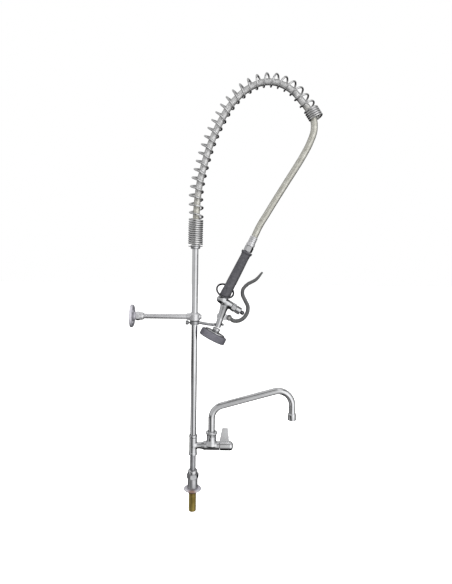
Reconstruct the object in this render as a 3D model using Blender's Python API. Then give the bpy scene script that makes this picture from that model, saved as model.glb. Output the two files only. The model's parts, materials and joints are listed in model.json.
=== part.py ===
"""A deck-mounted pre-rinse faucet for a commercial sink.

A base and riser, a wall bracket, an add-on faucet with a swing spout, an overhead spring and hose, and a
squeeze-lever spray valve parked on a finger hook.

Units are metres. +Z is up, +X runs from the riser towards the spout, and the origin is the centre of the
deck hole, on the riser's axis, in the plane of the gasket's underside.
"""

import math

import bmesh
import bpy
from mathutils import Matrix, Vector

# ---------------------------------------------------------------- driving dimensions
GAP = 0.0003  # left between pieces that touch

# Base, on the deck at z = 0
SHANK_R = 0.0106
SHANK_BORE_R = 0.0070
SHANK_BOTTOM = -0.059
FLANGE_R = 0.0245
FLANGE_TOP = 0.0062
BODY_R = 0.0142
BODY_TOP = 0.0330
UNION_FLATS_R = 0.0150
UNION_TOP = 0.0470
COLLAR_R = 0.0137
COLLAR_TOP = 0.0580
NIPPLE_R = 0.0082

# Riser and the faucet body threaded onto it
PIPE_R = 0.00855
PIPE_BORE_R = 0.0063
RISER_TOP = 0.6840
TEE_BOTTOM = 0.0990
TEE_TOP = 0.1560
TEE_R = 0.0109
BARREL_Z = 0.1255
BARREL_R = 0.0119
BARREL_START = 0.0290
BARREL_END = 0.0750
HUB_R = 0.0128
HUB_END = 0.1130
BLADE_TOP = 0.1755

# Swing spout
SWIVEL_X = 0.0520
BOSS_TOP = 0.1520
NUT_TOP = 0.1670
SPOUT_R = 0.0094
SPOUT_BORE_R = 0.0079
SPOUT_FOOT = 0.1405
SPOUT_BEND_START = 0.2030
SPOUT_BEND_1 = 0.0380
SPOUT_BEND_2 = 0.0400
SPOUT_RISE = math.radians(15.6)
SPOUT_STRAIGHT = 0.1550
SPOUT_DROP = 0.0320
OUTLET_LENGTH = 0.0200
OUTLET_R = 0.0115

# Wall bracket and finger hook
ARM_Z = 0.4910
ARM_R = 0.0070
BRACKET_COLLAR_R = 0.0150
BRACKET_COLLAR_HALF = 0.0110
WALL_X = -0.1810
WALL_FLANGE_R = 0.0320
HOOK_Z = 0.4740
HOOK_ROD_R = 0.0036
HOOK_CROOK_R = 0.0128

# Overhead spring and hose
SPRING_BOTTOM = 0.6945
SPRING_WIRE_R = 0.0026
SPRING_MEAN_R = 0.0183
TIGHT_PITCH = 0.0060
OPEN_PITCH = 0.0240
TIGHT_FOOT = 0.0660
TIGHT_END = 0.0240
SPRING_OFFSET = 0.0048
HOSE_R = 0.0096
HOSE_FOOT = 0.7360

# Spray valve, in the plane Y = 0: grip axis, barrel axis and outlet neck meet at the valve's centre
GRIP_FOOT = Vector((0.0885, 0.0, 0.5478))
GRIP_TILT = math.radians(24.5)
GRIP_LENGTH = 0.1420
VALVE_CENTRE = Vector((0.0830, 0.0, 0.5357))
BARREL_DROP = math.radians(31.8)
VALVE_BARREL_R = 0.0115
NECK_START = Vector((0.0880, 0.0, 0.5330))
NECK_LEAN = math.radians(17.5)
NECK_LENGTH = 0.0750
NECK_R = 0.0083
HEAD_AXIS = Vector((0.450, 0.070, 0.890)).normalized()
BUMPER_R = 0.0385
LEVER_PIVOT = Vector((0.0980, 0.0, 0.4890))
RING_R = 0.0252
RING_WIRE_R = 0.0016
RING_TILT = math.radians(39.0)
RING_HEIGHT = 0.0170
RING_SIDE = -0.0060

UP = Vector((0, 0, 1))
ALONG_X = Vector((1, 0, 0))
ACROSS = Vector((0, 1, 0))
GRIP_AXIS = Vector((math.sin(GRIP_TILT), 0, math.cos(GRIP_TILT)))
BARREL_AXIS = Vector((math.cos(BARREL_DROP), 0, -math.sin(BARREL_DROP)))
NECK_AXIS = Vector((-math.sin(NECK_LEAN), 0, -math.cos(NECK_LEAN)))
NECK_END = NECK_START + NECK_AXIS * NECK_LENGTH
HOSE_END = GRIP_FOOT + GRIP_AXIS * 0.1895

# The hose's centreline: up inside the spring, over the arc towards the user, and down to the spray valve
HOSE_ROUTE = (
    Vector((0.000, 0.000, HOSE_FOOT)),
    Vector((0.001, 0.000, 0.771)),
    Vector((0.004, 0.000, 0.821)),
    Vector((0.010, 0.000, 0.870)),
    Vector((0.020, 0.000, 0.915)),
    Vector((0.032, 0.000, 0.959)),
    Vector((0.048, -0.001, 1.004)),
    Vector((0.069, -0.002, 1.049)),
    Vector((0.092, -0.003, 1.088)),
    Vector((0.119, -0.005, 1.118)),
    Vector((0.149, -0.008, 1.141)),
    Vector((0.182, -0.012, 1.154)),
    Vector((0.216, -0.017, 1.154)),
    Vector((0.245, -0.022, 1.143)),
    Vector((0.271, -0.027, 1.124)),
    Vector((0.291, -0.032, 1.099)),
    Vector((0.310, -0.036, 1.074)),
    Vector((0.324, -0.039, 1.046)),
    Vector((0.326, -0.040, 1.016)),
    Vector((0.316, -0.038, 0.983)),
    Vector((0.298, -0.033, 0.946)),
    Vector((0.275, -0.026, 0.907)),
    Vector((0.250, -0.018, 0.866)),
    Vector((0.224, -0.010, 0.823)),
    Vector((0.201, -0.004, 0.784)),
    Vector((0.182, 0.000, 0.752)),
    HOSE_END,
)
ARC_FOCUS = Vector((0.165, 0.0, 0.960))


# ---------------------------------------------------------------- materials
def finish(name, colour, metallic, roughness):
    """A plain Principled material."""
    made = bpy.data.materials.new(name)
    made.use_nodes = True
    shader = made.node_tree.nodes["Principled BSDF"]
    shader.inputs["Base Color"].default_value = (*colour, 1.0)
    shader.inputs["Metallic"].default_value = metallic
    shader.inputs["Roughness"].default_value = roughness
    return made


def make_finishes():
    return {
        "chrome": finish("chrome", (0.80, 0.80, 0.82), 1.0, 0.12),
        "steel": finish("steel", (0.62, 0.61, 0.59), 1.0, 0.28),
        "brass": finish("brass", (0.45, 0.38, 0.14), 1.0, 0.35),
        "rubber": finish("rubber", (0.09, 0.09, 0.10), 0.0, 0.60),
        "grip": finish("grip", (0.10, 0.10, 0.11), 0.0, 0.45),
        "lever": finish("lever", (0.11, 0.11, 0.11), 0.0, 0.40),
    }


# ---------------------------------------------------------------- mesh helpers
def placed(origin, direction):
    """The matrix that takes local +Z to a direction at an origin."""
    return Matrix.Translation(origin) @ direction.to_track_quat("Z", "Y").to_matrix().to_4x4()


def add_object(name, mesh, material):
    made = bpy.data.objects.new(name, mesh)
    bpy.context.scene.collection.objects.link(made)
    if material:
        made.data.materials.append(material)
    return made


def mesh_from(bm, name, material):
    bmesh.ops.recalc_face_normals(bm, faces=bm.faces)
    mesh = bpy.data.meshes.new(name)
    bm.to_mesh(mesh)
    bm.free()
    mesh.shade_smooth()
    mesh.set_sharp_from_angle(angle=math.radians(30))
    return add_object(name, mesh, material)


def rings_to_faces(bm, rings, closed):
    """Joins neighbouring rings of points with quads, or with a fan where a ring is one point."""
    pairs = list(zip(rings, rings[1:]))
    if closed:
        pairs.append((rings[-1], rings[0]))
    for a, b in pairs:
        count = max(len(a), len(b))
        for i in range(count):
            j = (i + 1) % count
            corners = [a[i % len(a)], a[j % len(a)], b[j % len(b)], b[i % len(b)]]
            unique = list(dict.fromkeys(corners))
            if len(unique) > 2:
                bm.faces.new(unique)


def turned(
    name, profile, material, origin=Vector(), direction=UP, segments=12, sides=0, phase=0.0
):
    """A turned piece. The profile lists (radius, height) round its closed outline, "flats" added at some.

    A point marked "flats" lies on a prism of that many sides, its radius half the width across flats.
    """
    bm = bmesh.new()
    matrix = placed(origin, direction)
    rings = []
    for point in profile:
        radius, height = point[0], point[1]
        if radius < 1e-9:
            rings.append([bm.verts.new(matrix @ Vector((0, 0, height)))])
            continue
        ring = []
        for i in range(segments):
            angle = 2 * math.pi * i / segments + phase
            reach = radius
            if len(point) > 2:
                half = math.pi / sides
                reach = radius / math.cos((angle + half) % (2 * half) - half)
            corner = Vector((reach * math.cos(angle), reach * math.sin(angle), height))
            ring.append(bm.verts.new(matrix @ corner))
        rings.append(ring)
    rings_to_faces(bm, rings, closed=profile[0][0] > 1e-9)
    return mesh_from(bm, name, material)


def sleeve(
    name, inner, outer, low, high, material, origin=Vector(), direction=UP, edge=0.0006, segments=12
):
    """A turned ring with its outer edges chamfered."""
    profile = (
        (inner, low),
        (outer - edge, low),
        (outer, low + edge),
        (outer, high - edge),
        (outer - edge, high),
        (inner, high),
    )
    return turned(name, profile, material, origin, direction, segments)


def rod(name, radius, low, high, material, origin=Vector(), direction=UP, edge=0.0005, segments=12):
    """A turned solid bar with chamfered ends."""
    profile = (
        (0, low),
        (radius - edge, low),
        (radius, low + edge),
        (radius, high - edge),
        (radius - edge, high),
        (0, high),
    )
    return turned(name, profile, material, origin, direction, segments)


def cutter(radius, low, high, origin=Vector(), direction=UP, segments=12):
    """A plain cylinder for cutting a bore, turned a little so that its corners miss those of the piece."""
    profile = ((0, low), (radius, low), (radius, high), (0, high))
    return turned("bore", profile, None, origin, direction, segments, phase=0.11 + 0.07 * (12 - segments))


def combined(target, others, operation):
    """Applies exact Booleans of other objects to a target, and removes the others."""
    for other in others:
        modifier = target.modifiers.new(other.name, "BOOLEAN")
        modifier.operation = operation
        modifier.solver = "EXACT"
        modifier.object = other
    bpy.context.view_layer.update()
    shaped = target.evaluated_get(bpy.context.evaluated_depsgraph_get())
    mesh = bpy.data.meshes.new_from_object(shaped)
    target.modifiers.clear()
    target.data = mesh
    mesh.shade_smooth()
    mesh.set_sharp_from_angle(angle=math.radians(30))
    for other in others:
        bpy.data.objects.remove(other)
    return target


def smoothed(points, count):
    """Evenly spaced points on the smooth curve through the given ones, a Hermite spline on chord length."""
    along = [0.0]
    for a, b in zip(points, points[1:]):
        along.append(along[-1] + (b - a).length)
    slopes = []
    for i, point in enumerate(points):
        if i == 0:
            slopes.append((points[1] - point) / (along[1] - along[0]))
        elif i == len(points) - 1:
            slopes.append((point - points[-2]) / (along[-1] - along[-2]))
        else:
            before, after = along[i] - along[i - 1], along[i + 1] - along[i]
            first, second = (point - points[i - 1]) / before, (points[i + 1] - point) / after
            slopes.append((first * after + second * before) / (before + after))
    fine = []
    for i in range(len(points) - 1):
        span = along[i + 1] - along[i]
        for step in range(40):
            t = step / 40
            h00, h10 = 2 * t**3 - 3 * t**2 + 1, t**3 - 2 * t**2 + t
            h01, h11 = 3 * t**2 - 2 * t**3, t**3 - t**2
            ends = points[i] * h00 + points[i + 1] * h01
            fine.append(ends + slopes[i] * (span * h10) + slopes[i + 1] * (span * h11))
    fine.append(points[-1].copy())
    return evenly(fine, count)


def evenly(fine, count):
    """The same line as count points the same distance apart."""
    along = [0.0]
    for a, b in zip(fine, fine[1:]):
        along.append(along[-1] + (b - a).length)
    line, j = [], 0
    for i in range(count):
        at = along[-1] * i / (count - 1)
        while j < len(fine) - 2 and along[j + 1] < at:
            j += 1
        share = (at - along[j]) / max(along[j + 1] - along[j], 1e-12)
        line.append(fine[j].lerp(fine[j + 1], min(share, 1.0)))
    return line


def tangents(points):
    found = []
    for i in range(len(points)):
        found.append((points[min(i + 1, len(points) - 1)] - points[max(i - 1, 0)]).normalized())
    return found


def frames(points, first_side):
    """A side direction at each point, carried along the line without twist."""
    directions = tangents(points)
    side = (first_side - directions[0] * first_side.dot(directions[0])).normalized()
    sides = [side]
    for before, after in zip(directions, directions[1:]):
        side = before.rotation_difference(after) @ side
        side = (side - after * side.dot(after)).normalized()
        sides.append(side)
    return directions, sides


def swept(name, points, sizes, material, first_side=ACROSS, segments=12, bore=0.0):
    """A bar or tube along a line. sizes gives each point's half widths along the side and across it."""
    directions, sides = frames(points, first_side)
    bm = bmesh.new()

    def ring(i, wide, deep):
        across = directions[i].cross(sides[i])
        made = []
        for k in range(segments):
            angle = 2 * math.pi * k / segments
            offset = sides[i] * (wide * math.cos(angle)) + across * (deep * math.sin(angle))
            made.append(bm.verts.new(points[i] + offset))
        return made

    outer = [ring(i, *sizes[i]) for i in range(len(points))]
    rings_to_faces(bm, outer, closed=False)
    if bore:
        inner = [ring(i, bore, bore) for i in range(len(points))]
        rings_to_faces(bm, inner, closed=False)
        rings_to_faces(bm, [outer[0], inner[0]], closed=False)
        rings_to_faces(bm, [outer[-1], inner[-1]], closed=False)
    else:
        bm.faces.new(outer[0])
        bm.faces.new(outer[-1])
    return mesh_from(bm, name, material)


def slab(name, outline, low, high, material, matrix, edge=0.0):
    """A flat outline in the local XY plane, extruded from low to high and bevelled."""
    bm = bmesh.new()
    face = bm.faces.new([bm.verts.new(Vector((x, y, low))) for x, y in outline])
    grown = bmesh.ops.extrude_face_region(bm, geom=[face])
    moved = [item for item in grown["geom"] if isinstance(item, bmesh.types.BMVert)]
    bmesh.ops.translate(bm, verts=moved, vec=(0, 0, high - low))
    bmesh.ops.recalc_face_normals(bm, faces=bm.faces)
    if edge:
        bmesh.ops.bevel(bm, geom=bm.edges[:], offset=edge, segments=1, affect="EDGES", profile=0.5)
    bm.transform(matrix)
    return mesh_from(bm, name, material)


def arc(centre, radius, start, end, count):
    """(x, y) points along an arc, angles in degrees, ends included."""
    made = []
    for i in range(count):
        angle = math.radians(start + (end - start) * i / (count - 1))
        made.append((centre[0] + radius * math.cos(angle), centre[1] + radius * math.sin(angle)))
    return made


# ---------------------------------------------------------------- base
def make_base(looks):
    chrome = looks["chrome"]
    shank_profile = (
        (SHANK_BORE_R, SHANK_BOTTOM),
        (SHANK_R - 0.0016, SHANK_BOTTOM),
        (SHANK_R, SHANK_BOTTOM + 0.0016),
        (SHANK_R, 0.0160),
        (SHANK_BORE_R, 0.0160),
    )
    turned("supply_shank", shank_profile, looks["brass"])
    sleeve("deck_gasket", SHANK_R + GAP, FLANGE_R - 0.0020, 0.0, 0.0014, looks["rubber"], edge=0.0002)
    flange_profile = (
        (SHANK_R + GAP, 0.0017),
        (FLANGE_R - 0.0004, 0.0017),
        (FLANGE_R, 0.0022),
        (FLANGE_R, 0.0040),
        (FLANGE_R - 0.0012, 0.0054),
        (FLANGE_R - 0.0040, FLANGE_TOP),
        (SHANK_R + GAP, FLANGE_TOP),
    )
    turned("base_flange", flange_profile, chrome, segments=24)
    body_profile = (
        (SHANK_R + GAP, FLANGE_TOP + GAP),
        (BODY_R + 0.0006, FLANGE_TOP + GAP),
        (BODY_R + 0.0006, 0.0100),
        (BODY_R, 0.0108),
        (BODY_R, BODY_TOP - 0.0012),
        (BODY_R - 0.0012, BODY_TOP),
        (NIPPLE_R + GAP, BODY_TOP),
        (NIPPLE_R + GAP, 0.0190),
        (SHANK_BORE_R, 0.0190),
        (SHANK_BORE_R, 0.0163),
        (SHANK_R + GAP, 0.0163),
    )
    turned("base_body", body_profile, chrome)
    union_profile = (
        (NIPPLE_R + GAP, BODY_TOP + GAP),
        (UNION_FLATS_R, BODY_TOP + GAP),
        (UNION_FLATS_R, BODY_TOP + 0.0022, "flats"),
        (UNION_FLATS_R, UNION_TOP - 0.0022, "flats"),
        (UNION_FLATS_R, UNION_TOP),
        (NIPPLE_R + GAP, UNION_TOP),
    )
    turned("base_union_nut", union_profile, chrome, segments=12, sides=6)
    collar_profile = (
        (NIPPLE_R + GAP, UNION_TOP + GAP),
        (COLLAR_R, UNION_TOP + GAP),
        (COLLAR_R, COLLAR_TOP - 0.0030),
        (COLLAR_R - 0.0022, COLLAR_TOP),
        (NIPPLE_R + GAP, COLLAR_TOP),
    )
    turned("base_collar", collar_profile, chrome)
    sleeve("lower_nipple", PIPE_BORE_R, NIPPLE_R, 0.0193, TEE_BOTTOM + 0.0120, chrome)


# ---------------------------------------------------------------- add-on faucet
def make_faucet_body(looks):
    """The tee on the riser, with its side barrel and the spout's boss, as one bored casting."""
    chrome = looks["chrome"]
    band = 0.0006
    tee_profile = (
        (0, TEE_BOTTOM),
        (TEE_R, TEE_BOTTOM),
        (TEE_R + band, TEE_BOTTOM + 0.0008),
        (TEE_R + band, TEE_BOTTOM + 0.0060),
        (TEE_R, TEE_BOTTOM + 0.0070),
        (TEE_R, TEE_TOP - 0.0070),
        (TEE_R + band, TEE_TOP - 0.0060),
        (TEE_R + band, TEE_TOP - 0.0008),
        (TEE_R, TEE_TOP),
        (0, TEE_TOP),
    )
    body = turned("faucet_body", tee_profile, chrome)
    barrel_profile = (
        (0, 0.0010),
        (0.0092, 0.0010),
        (0.0088, 0.0160),
        (0.0092, BARREL_START - 0.0060),
        (BARREL_R - 0.0006, BARREL_START + 0.0010),
        (BARREL_R, BARREL_START + 0.0030),
        (BARREL_R, BARREL_END - 0.0006),
        (BARREL_R - 0.0006, BARREL_END),
        (0, BARREL_END),
    )
    barrel_origin = Vector((0, 0, BARREL_Z))
    barrel = turned("barrel", barrel_profile, chrome, barrel_origin, ALONG_X)
    boss_profile = (
        (0, BARREL_Z - 0.0050),
        (0.0165, BARREL_Z + 0.0020),
        (0.0150, BARREL_Z + 0.0100),
        (0.0136, BARREL_Z + 0.0160),
        (0.0134, BOSS_TOP),
        (0, BOSS_TOP),
    )
    boss = turned("boss", boss_profile, chrome, Vector((SWIVEL_X, 0, 0)))
    combined(body, [barrel, boss], "UNION")
    cutters = [
        cutter(NIPPLE_R + GAP, TEE_BOTTOM - 0.01, TEE_BOTTOM + 0.0123),
        cutter(PIPE_R + GAP, TEE_TOP - 0.0160, TEE_TOP + 0.01),
        cutter(PIPE_BORE_R - 0.0005, TEE_BOTTOM + 0.0060, TEE_TOP - 0.0100, segments=10),
        cutter(0.0050, 0.0, 0.0400, barrel_origin, ALONG_X, 9),
        cutter(0.0089, 0.0370, BARREL_END + 0.01, barrel_origin, ALONG_X),
        cutter(0.0115, 0.1385, BOSS_TOP + 0.01, Vector((SWIVEL_X, 0, 0))),
        cutter(0.0045, 0.1300, 0.1400, Vector((SWIVEL_X, 0, 0)), segments=9),
    ]
    combined(body, cutters, "DIFFERENCE")


def make_faucet_valve(looks):
    """The quarter-turn cartridge in the barrel, its nut, and the lever handle on its stem."""
    chrome, brass = looks["chrome"], looks["brass"]
    axis = Vector((0, 0, BARREL_Z))
    cartridge_profile = (
        (0.0040, 0.0400),
        (0.0062, 0.0400),
        (0.0086, 0.0420),
        (0.0086, 0.0750),
        (0.0070, 0.0752),
        (0.0070, 0.0800),
        (0.0043, 0.0800),
        (0.0043, 0.0660),
        (0.0040, 0.0655),
    )
    turned("valve_cartridge", cartridge_profile, brass, axis, ALONG_X)
    nut_profile = (
        (0.0074, 0.0755),
        (0.0090, 0.0755),
        (0.0090, 0.0760, "flats"),
        (0.0090, 0.0796, "flats"),
        (0.0090, 0.0800),
        (0.0074, 0.0800),
    )
    turned("cartridge_nut", nut_profile, brass, axis, ALONG_X, segments=12, sides=6)
    stem_profile = ((0, 0.0665), (0.0039, 0.0668), (0.0039, 0.0970), (0.0034, 0.0980), (0, 0.0980))
    turned("cartridge_stem", stem_profile, brass, axis, ALONG_X)
    dome = [(HUB_END - 0.0030 + x, y) for x, y in arc((0, HUB_R - 0.0040), 0.0040, 90, 20, 5)]
    hub_profile = [
        (0.0112, BARREL_END + 0.0008),
        (HUB_R - 0.0006, BARREL_END + 0.0008),
        (HUB_R, BARREL_END + 0.0014),
        *[(radius, along) for along, radius in dome],
        (0.0058, HUB_END),
        (0.0058, HUB_END - 0.0060),
        (0.0042, HUB_END - 0.0060),
        (0.0042, 0.0900),
        (0.0112, 0.0900),
    ]
    handle = turned("faucet_handle", hub_profile, chrome, axis, ALONG_X)
    half_root, half_top = 0.0135, 0.0083
    root_z, neck_z = BARREL_Z + 0.0085, BARREL_Z + 0.0150
    middle_root, middle_top = 0.0890, 0.0905
    outline = [
        (middle_root - half_root, root_z),
        (middle_root + half_root, root_z),
        (middle_root + half_root, neck_z),
        (middle_top + half_top, BLADE_TOP - 0.0020),
        (middle_top + half_top - 0.0020, BLADE_TOP),
        (middle_top - half_top + 0.0020, BLADE_TOP),
        (middle_top - half_top, BLADE_TOP - 0.0020),
        (middle_root - half_root, neck_z),
    ]
    upright = Matrix(((1, 0, 0, 0), (0, 0, -1, 0), (0, 1, 0, 0), (0, 0, 0, 1)))
    blade = slab("blade", outline, -0.0029, 0.0029, chrome, upright, edge=0.0010)
    combined(handle, [blade], "UNION")
    combined(handle, [cutter(0.0111, 0.0700, 0.0898, axis, ALONG_X)], "DIFFERENCE")
    screw_profile = (
        (0, 0.0983),
        (0.0020, 0.0983),
        (0.0020, 0.1062),
        (0.0038, 0.1073),
        (0.0038, 0.1092),
        (0, 0.1092),
    )
    turned("handle_screw", screw_profile, looks["steel"], axis, ALONG_X)
    button_profile = (
        (0, 0.1096),
        (0.0055, 0.1096),
        (0.0055, 0.1130),
        (0.0045, 0.1141),
        (0.0022, 0.1147),
        (0, 0.1148),
    )
    turned("index_button", button_profile, chrome, axis, ALONG_X)


def spout_line():
    """The spout's centreline: up, a bend, the rising run, the second bend and down to the outlet."""
    line = [Vector((SWIVEL_X, 0, SPOUT_FOOT)), Vector((SWIVEL_X, 0, SPOUT_BEND_START))]
    centre = Vector((SWIVEL_X + SPOUT_BEND_1, 0, SPOUT_BEND_START))
    steps = 5
    for i in range(1, steps + 1):
        angle = math.pi - (math.pi / 2 - SPOUT_RISE) * i / steps
        line.append(centre + Vector((math.cos(angle), 0, math.sin(angle))) * SPOUT_BEND_1)
    heading = Vector((math.cos(SPOUT_RISE), 0, math.sin(SPOUT_RISE)))
    line.append(line[-1] + heading * SPOUT_STRAIGHT)
    centre = line[-1] + Vector((math.sin(SPOUT_RISE), 0, -math.cos(SPOUT_RISE))) * SPOUT_BEND_2
    steps = 6
    for i in range(1, steps + 1):
        angle = math.pi / 2 + SPOUT_RISE - (math.pi / 2 + SPOUT_RISE) * i / steps
        line.append(centre + Vector((math.cos(angle), 0, math.sin(angle))) * SPOUT_BEND_2)
    line.append(line[-1] - UP * SPOUT_DROP)
    return line


def make_spout(looks):
    chrome = looks["chrome"]
    foot = Vector((SWIVEL_X, 0, 0))
    bore = SPOUT_R + 2 * GAP
    nut_profile = (
        (bore, BOSS_TOP + GAP),
        (0.0134, BOSS_TOP + GAP),
        (0.0136, 0.1555),
        (0.0164, 0.1615),
        (0.0164, 0.1640),
        (0.0130, NUT_TOP),
        (bore, NUT_TOP),
    )
    turned("spout_nut", nut_profile, chrome, foot)
    line = spout_line()
    sizes = [(SPOUT_R, SPOUT_R)] * len(line)
    tube = swept("spout_tube", line, sizes, chrome, bore=SPOUT_BORE_R)
    ferrule = turned(
        "ferrule",
        ((SPOUT_R - 0.0007, 0.1408), (0.0111, 0.1412), (0.0111, 0.1470), (SPOUT_R - 0.0007, 0.1476)),
        chrome,
        foot,
    )
    combined(tube, [ferrule], "UNION")
    sleeve("spout_o_ring", SPOUT_R + GAP, 0.0110, 0.1482, 0.1512, looks["rubber"], foot, edge=0.0008)
    end = line[-1]
    tip_profile = (
        (OUTLET_R - 0.0008, -OUTLET_LENGTH + 0.0100),
        (OUTLET_R, -OUTLET_LENGTH + 0.0108),
        (OUTLET_R, 0.0072),
        (OUTLET_R - 0.0012, 0.0100),
        (SPOUT_R + GAP, 0.0100),
        (SPOUT_R + GAP, -GAP),
        (0.0086, -GAP),
        (0.0086, -OUTLET_LENGTH + 0.0100),
    )
    turned("spout_outlet", tip_profile, chrome, end)
    ring = sleeve("stream_straightener", 0.0066, 0.0083, -0.0090, -0.0050, looks["steel"], end, edge=0.0002)
    half = 0.0074
    for turn in (0, 90):
        vane = slab(
            f"vane_{turn}",
            [(-half, -0.0004), (half, -0.0004), (half, 0.0004), (-half, 0.0004)],
            -0.0086,
            -0.0054,
            looks["steel"],
            Matrix.Translation(end) @ Matrix.Rotation(math.radians(turn + 7.5), 4, "Z"),
        )
        combined(ring, [vane], "UNION")


# ---------------------------------------------------------------- riser, wall bracket and hook
def make_riser_and_bracket(looks):
    chrome, steel = looks["chrome"], looks["steel"]
    sleeve("riser_pipe", PIPE_BORE_R, PIPE_R, TEE_TOP - 0.0157, RISER_TOP, chrome, edge=0.0004)
    height = Vector((0, 0, ARM_Z))
    half = BRACKET_COLLAR_HALF
    collar_profile = (
        (0, -half),
        (BRACKET_COLLAR_R - 0.0012, -half),
        (BRACKET_COLLAR_R, -half + 0.0012),
        (BRACKET_COLLAR_R, half - 0.0030),
        (BRACKET_COLLAR_R - 0.0030, half),
        (0, half),
    )
    collar = turned("bracket_collar", collar_profile, chrome, height)
    socket = rod("socket", 0.0093, -0.0225, -0.0060, chrome, height, ALONG_X, edge=0.0010)
    boss = rod("boss", 0.0068, 0.0060, 0.0196, chrome, height, ALONG_X, edge=0.0012)
    combined(collar, [socket, boss], "UNION")
    cutters = [
        cutter(PIPE_R + GAP, -0.02, 0.02, height),
        cutter(ARM_R + GAP, -0.03, -0.0110, height, ALONG_X),
        cutter(0.0035, 0.0050, 0.03, height, ALONG_X, 12),
    ]
    combined(collar, cutters, "DIFFERENCE")
    screw = rod("bracket_set_screw", 0.0032, PIPE_R + GAP, 0.0188, steel, height, ALONG_X, segments=12)
    slot = slab(
        "slot",
        [(0.0175, -0.0005), (0.03, -0.0005), (0.03, 0.0005), (0.0175, 0.0005)],
        -0.01,
        0.01,
        steel,
        Matrix.Translation(height),
    )
    combined(screw, [slot], "DIFFERENCE")
    sleeve("bracket_arm", 0.0050, ARM_R, -0.1715, -0.0113, chrome, height, ALONG_X, edge=0.0003)
    nut_profile = (
        (ARM_R + GAP, -0.1662),
        (0.0112, -0.1662),
        (0.0112, -0.1652, "flats"),
        (0.0112, -0.1570, "flats"),
        (0.0112, -0.1560),
        (0.0092, -0.1440),
        (ARM_R + GAP, -0.1440),
    )
    turned("bracket_coupling_nut", nut_profile, chrome, height, ALONG_X, segments=12, sides=6)
    flange_profile = (
        (0, WALL_X),
        (WALL_FLANGE_R, WALL_X),
        (WALL_FLANGE_R, WALL_X + 0.0022),
        (WALL_FLANGE_R - 0.0015, WALL_X + 0.0036),
        (0.0160, WALL_X + 0.0058),
        (0.0112, WALL_X + 0.0066),
        (0.0106, -0.1665),
        (ARM_R + GAP, -0.1665),
        (ARM_R + GAP, -0.1718),
        (0, -0.1718),
    )
    flange = turned("wall_flange", flange_profile, chrome, height, ALONG_X, segments=24)
    holes = []
    for i in range(4):
        angle = math.radians(45 + 90 * i)
        at = height + Vector((0, math.cos(angle), math.sin(angle))) * 0.0225
        holes.append(cutter(0.0029, WALL_X - 0.01, WALL_X + 0.02, at, ALONG_X, 10))
    combined(flange, holes, "DIFFERENCE")


def make_finger_hook(looks):
    """The collar under the bracket, with the bar and crook that hold the spray valve's neck."""
    chrome = looks["chrome"]
    height = Vector((0, 0, HOOK_Z))
    hook = rod("finger_hook", 0.0132, -0.0050, 0.0050, chrome, height, edge=0.0008)
    neck_x = (NECK_START + NECK_AXIS * ((NECK_START.z - 0.4685) / math.cos(NECK_LEAN))).x
    crook = Vector((neck_x, 0, 0.4685))
    line = [Vector((0.0100, 0, HOOK_Z + 0.0008)), Vector((neck_x - HOOK_CROOK_R - 0.0080, 0, 0.4692))]
    for i in range(13):
        angle = math.radians(180 - 200 * i / 12)
        side = Vector((math.cos(angle), math.sin(angle), 0)) * HOOK_CROOK_R
        line.append(crook + side)
    line = smoothed(line, 20)
    sizes = [(HOOK_ROD_R, HOOK_ROD_R)] * (len(line) - 1) + [(HOOK_ROD_R * 0.8, HOOK_ROD_R * 0.8)]
    bar = swept("bar", line, sizes, chrome, UP, segments=8)
    combined(hook, [bar], "UNION")
    cutters = [
        cutter(PIPE_R + GAP, -0.02, 0.02, height),
        cutter(0.0027, -0.03, -0.0050, height, ALONG_X, 12),
    ]
    combined(hook, cutters, "DIFFERENCE")
    screw_profile = (
        (0, -0.0250),
        (0.0040, -0.0250),
        (0.0056, -0.0236),
        (0.0056, -0.0186),
        (0.0046, -0.0174),
        (0.0024, -0.0170),
        (0.0024, -PIPE_R - GAP),
        (0, -PIPE_R - GAP),
    )
    turned("hook_thumb_screw", screw_profile, chrome, height, ALONG_X)


# ---------------------------------------------------------------- overhead spring and hose
def spring_centreline(count):
    """The spring's centreline, which stands off the hose on the outside of the arc."""
    hose = smoothed(list(HOSE_ROUTE), 400)
    hose = [Vector((0, 0, SPRING_BOTTOM + GAP + SPRING_WIRE_R))] + hose
    end = next(i for i, p in enumerate(hose) if p.x > 0.29 and p.z < 1.0460)
    line = []
    for point, direction in zip(hose[:end], tangents(hose)[:end]):
        outward = Vector((point.x - ARC_FOCUS.x, 0, point.z - ARC_FOCUS.z)).normalized()
        outward = (outward - direction * outward.dot(direction)).normalized()
        rise = min(max((point.z - 0.780) / 0.060, 0.0), 1.0) if point.x < 0.1 else 1.0
        line.append(point + outward * (SPRING_OFFSET * rise * rise * (3 - 2 * rise)))
    return evenly(line, count)


def coil(name, line, mean_radius, wire_radius, turn_rate, per_turn, material, first_side=ALONG_X):
    """A square wire wound round a line. turn_rate(s, length) is its turns per metre at a distance along."""
    _, sides = frames(line, first_side)
    directions = tangents(line)
    step = (line[1] - line[0]).length
    length = step * (len(line) - 1)
    turns, total = [0.0], 0.0
    for i in range(1, len(line)):
        total += turn_rate((i - 0.5) * step, length) * step
        turns.append(total)
    count = math.ceil(total * per_turn) + 1
    wire, j = [], 0
    for i in range(count):
        at = total * i / (count - 1)
        while j < len(turns) - 2 and turns[j + 1] < at:
            j += 1
        share = (at - turns[j]) / (turns[j + 1] - turns[j])
        side = sides[j].lerp(sides[j + 1], share).normalized()
        across = directions[j].lerp(directions[j + 1], share).normalized().cross(side)
        angle = 2 * math.pi * at
        centre = line[j].lerp(line[j + 1], share)
        wire.append(centre + (side * math.cos(angle) - across * math.sin(angle)) * mean_radius)
    sizes = [(wire_radius, wire_radius)] * len(wire)
    return swept(name, wire, sizes, material, UP, segments=4)


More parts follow.
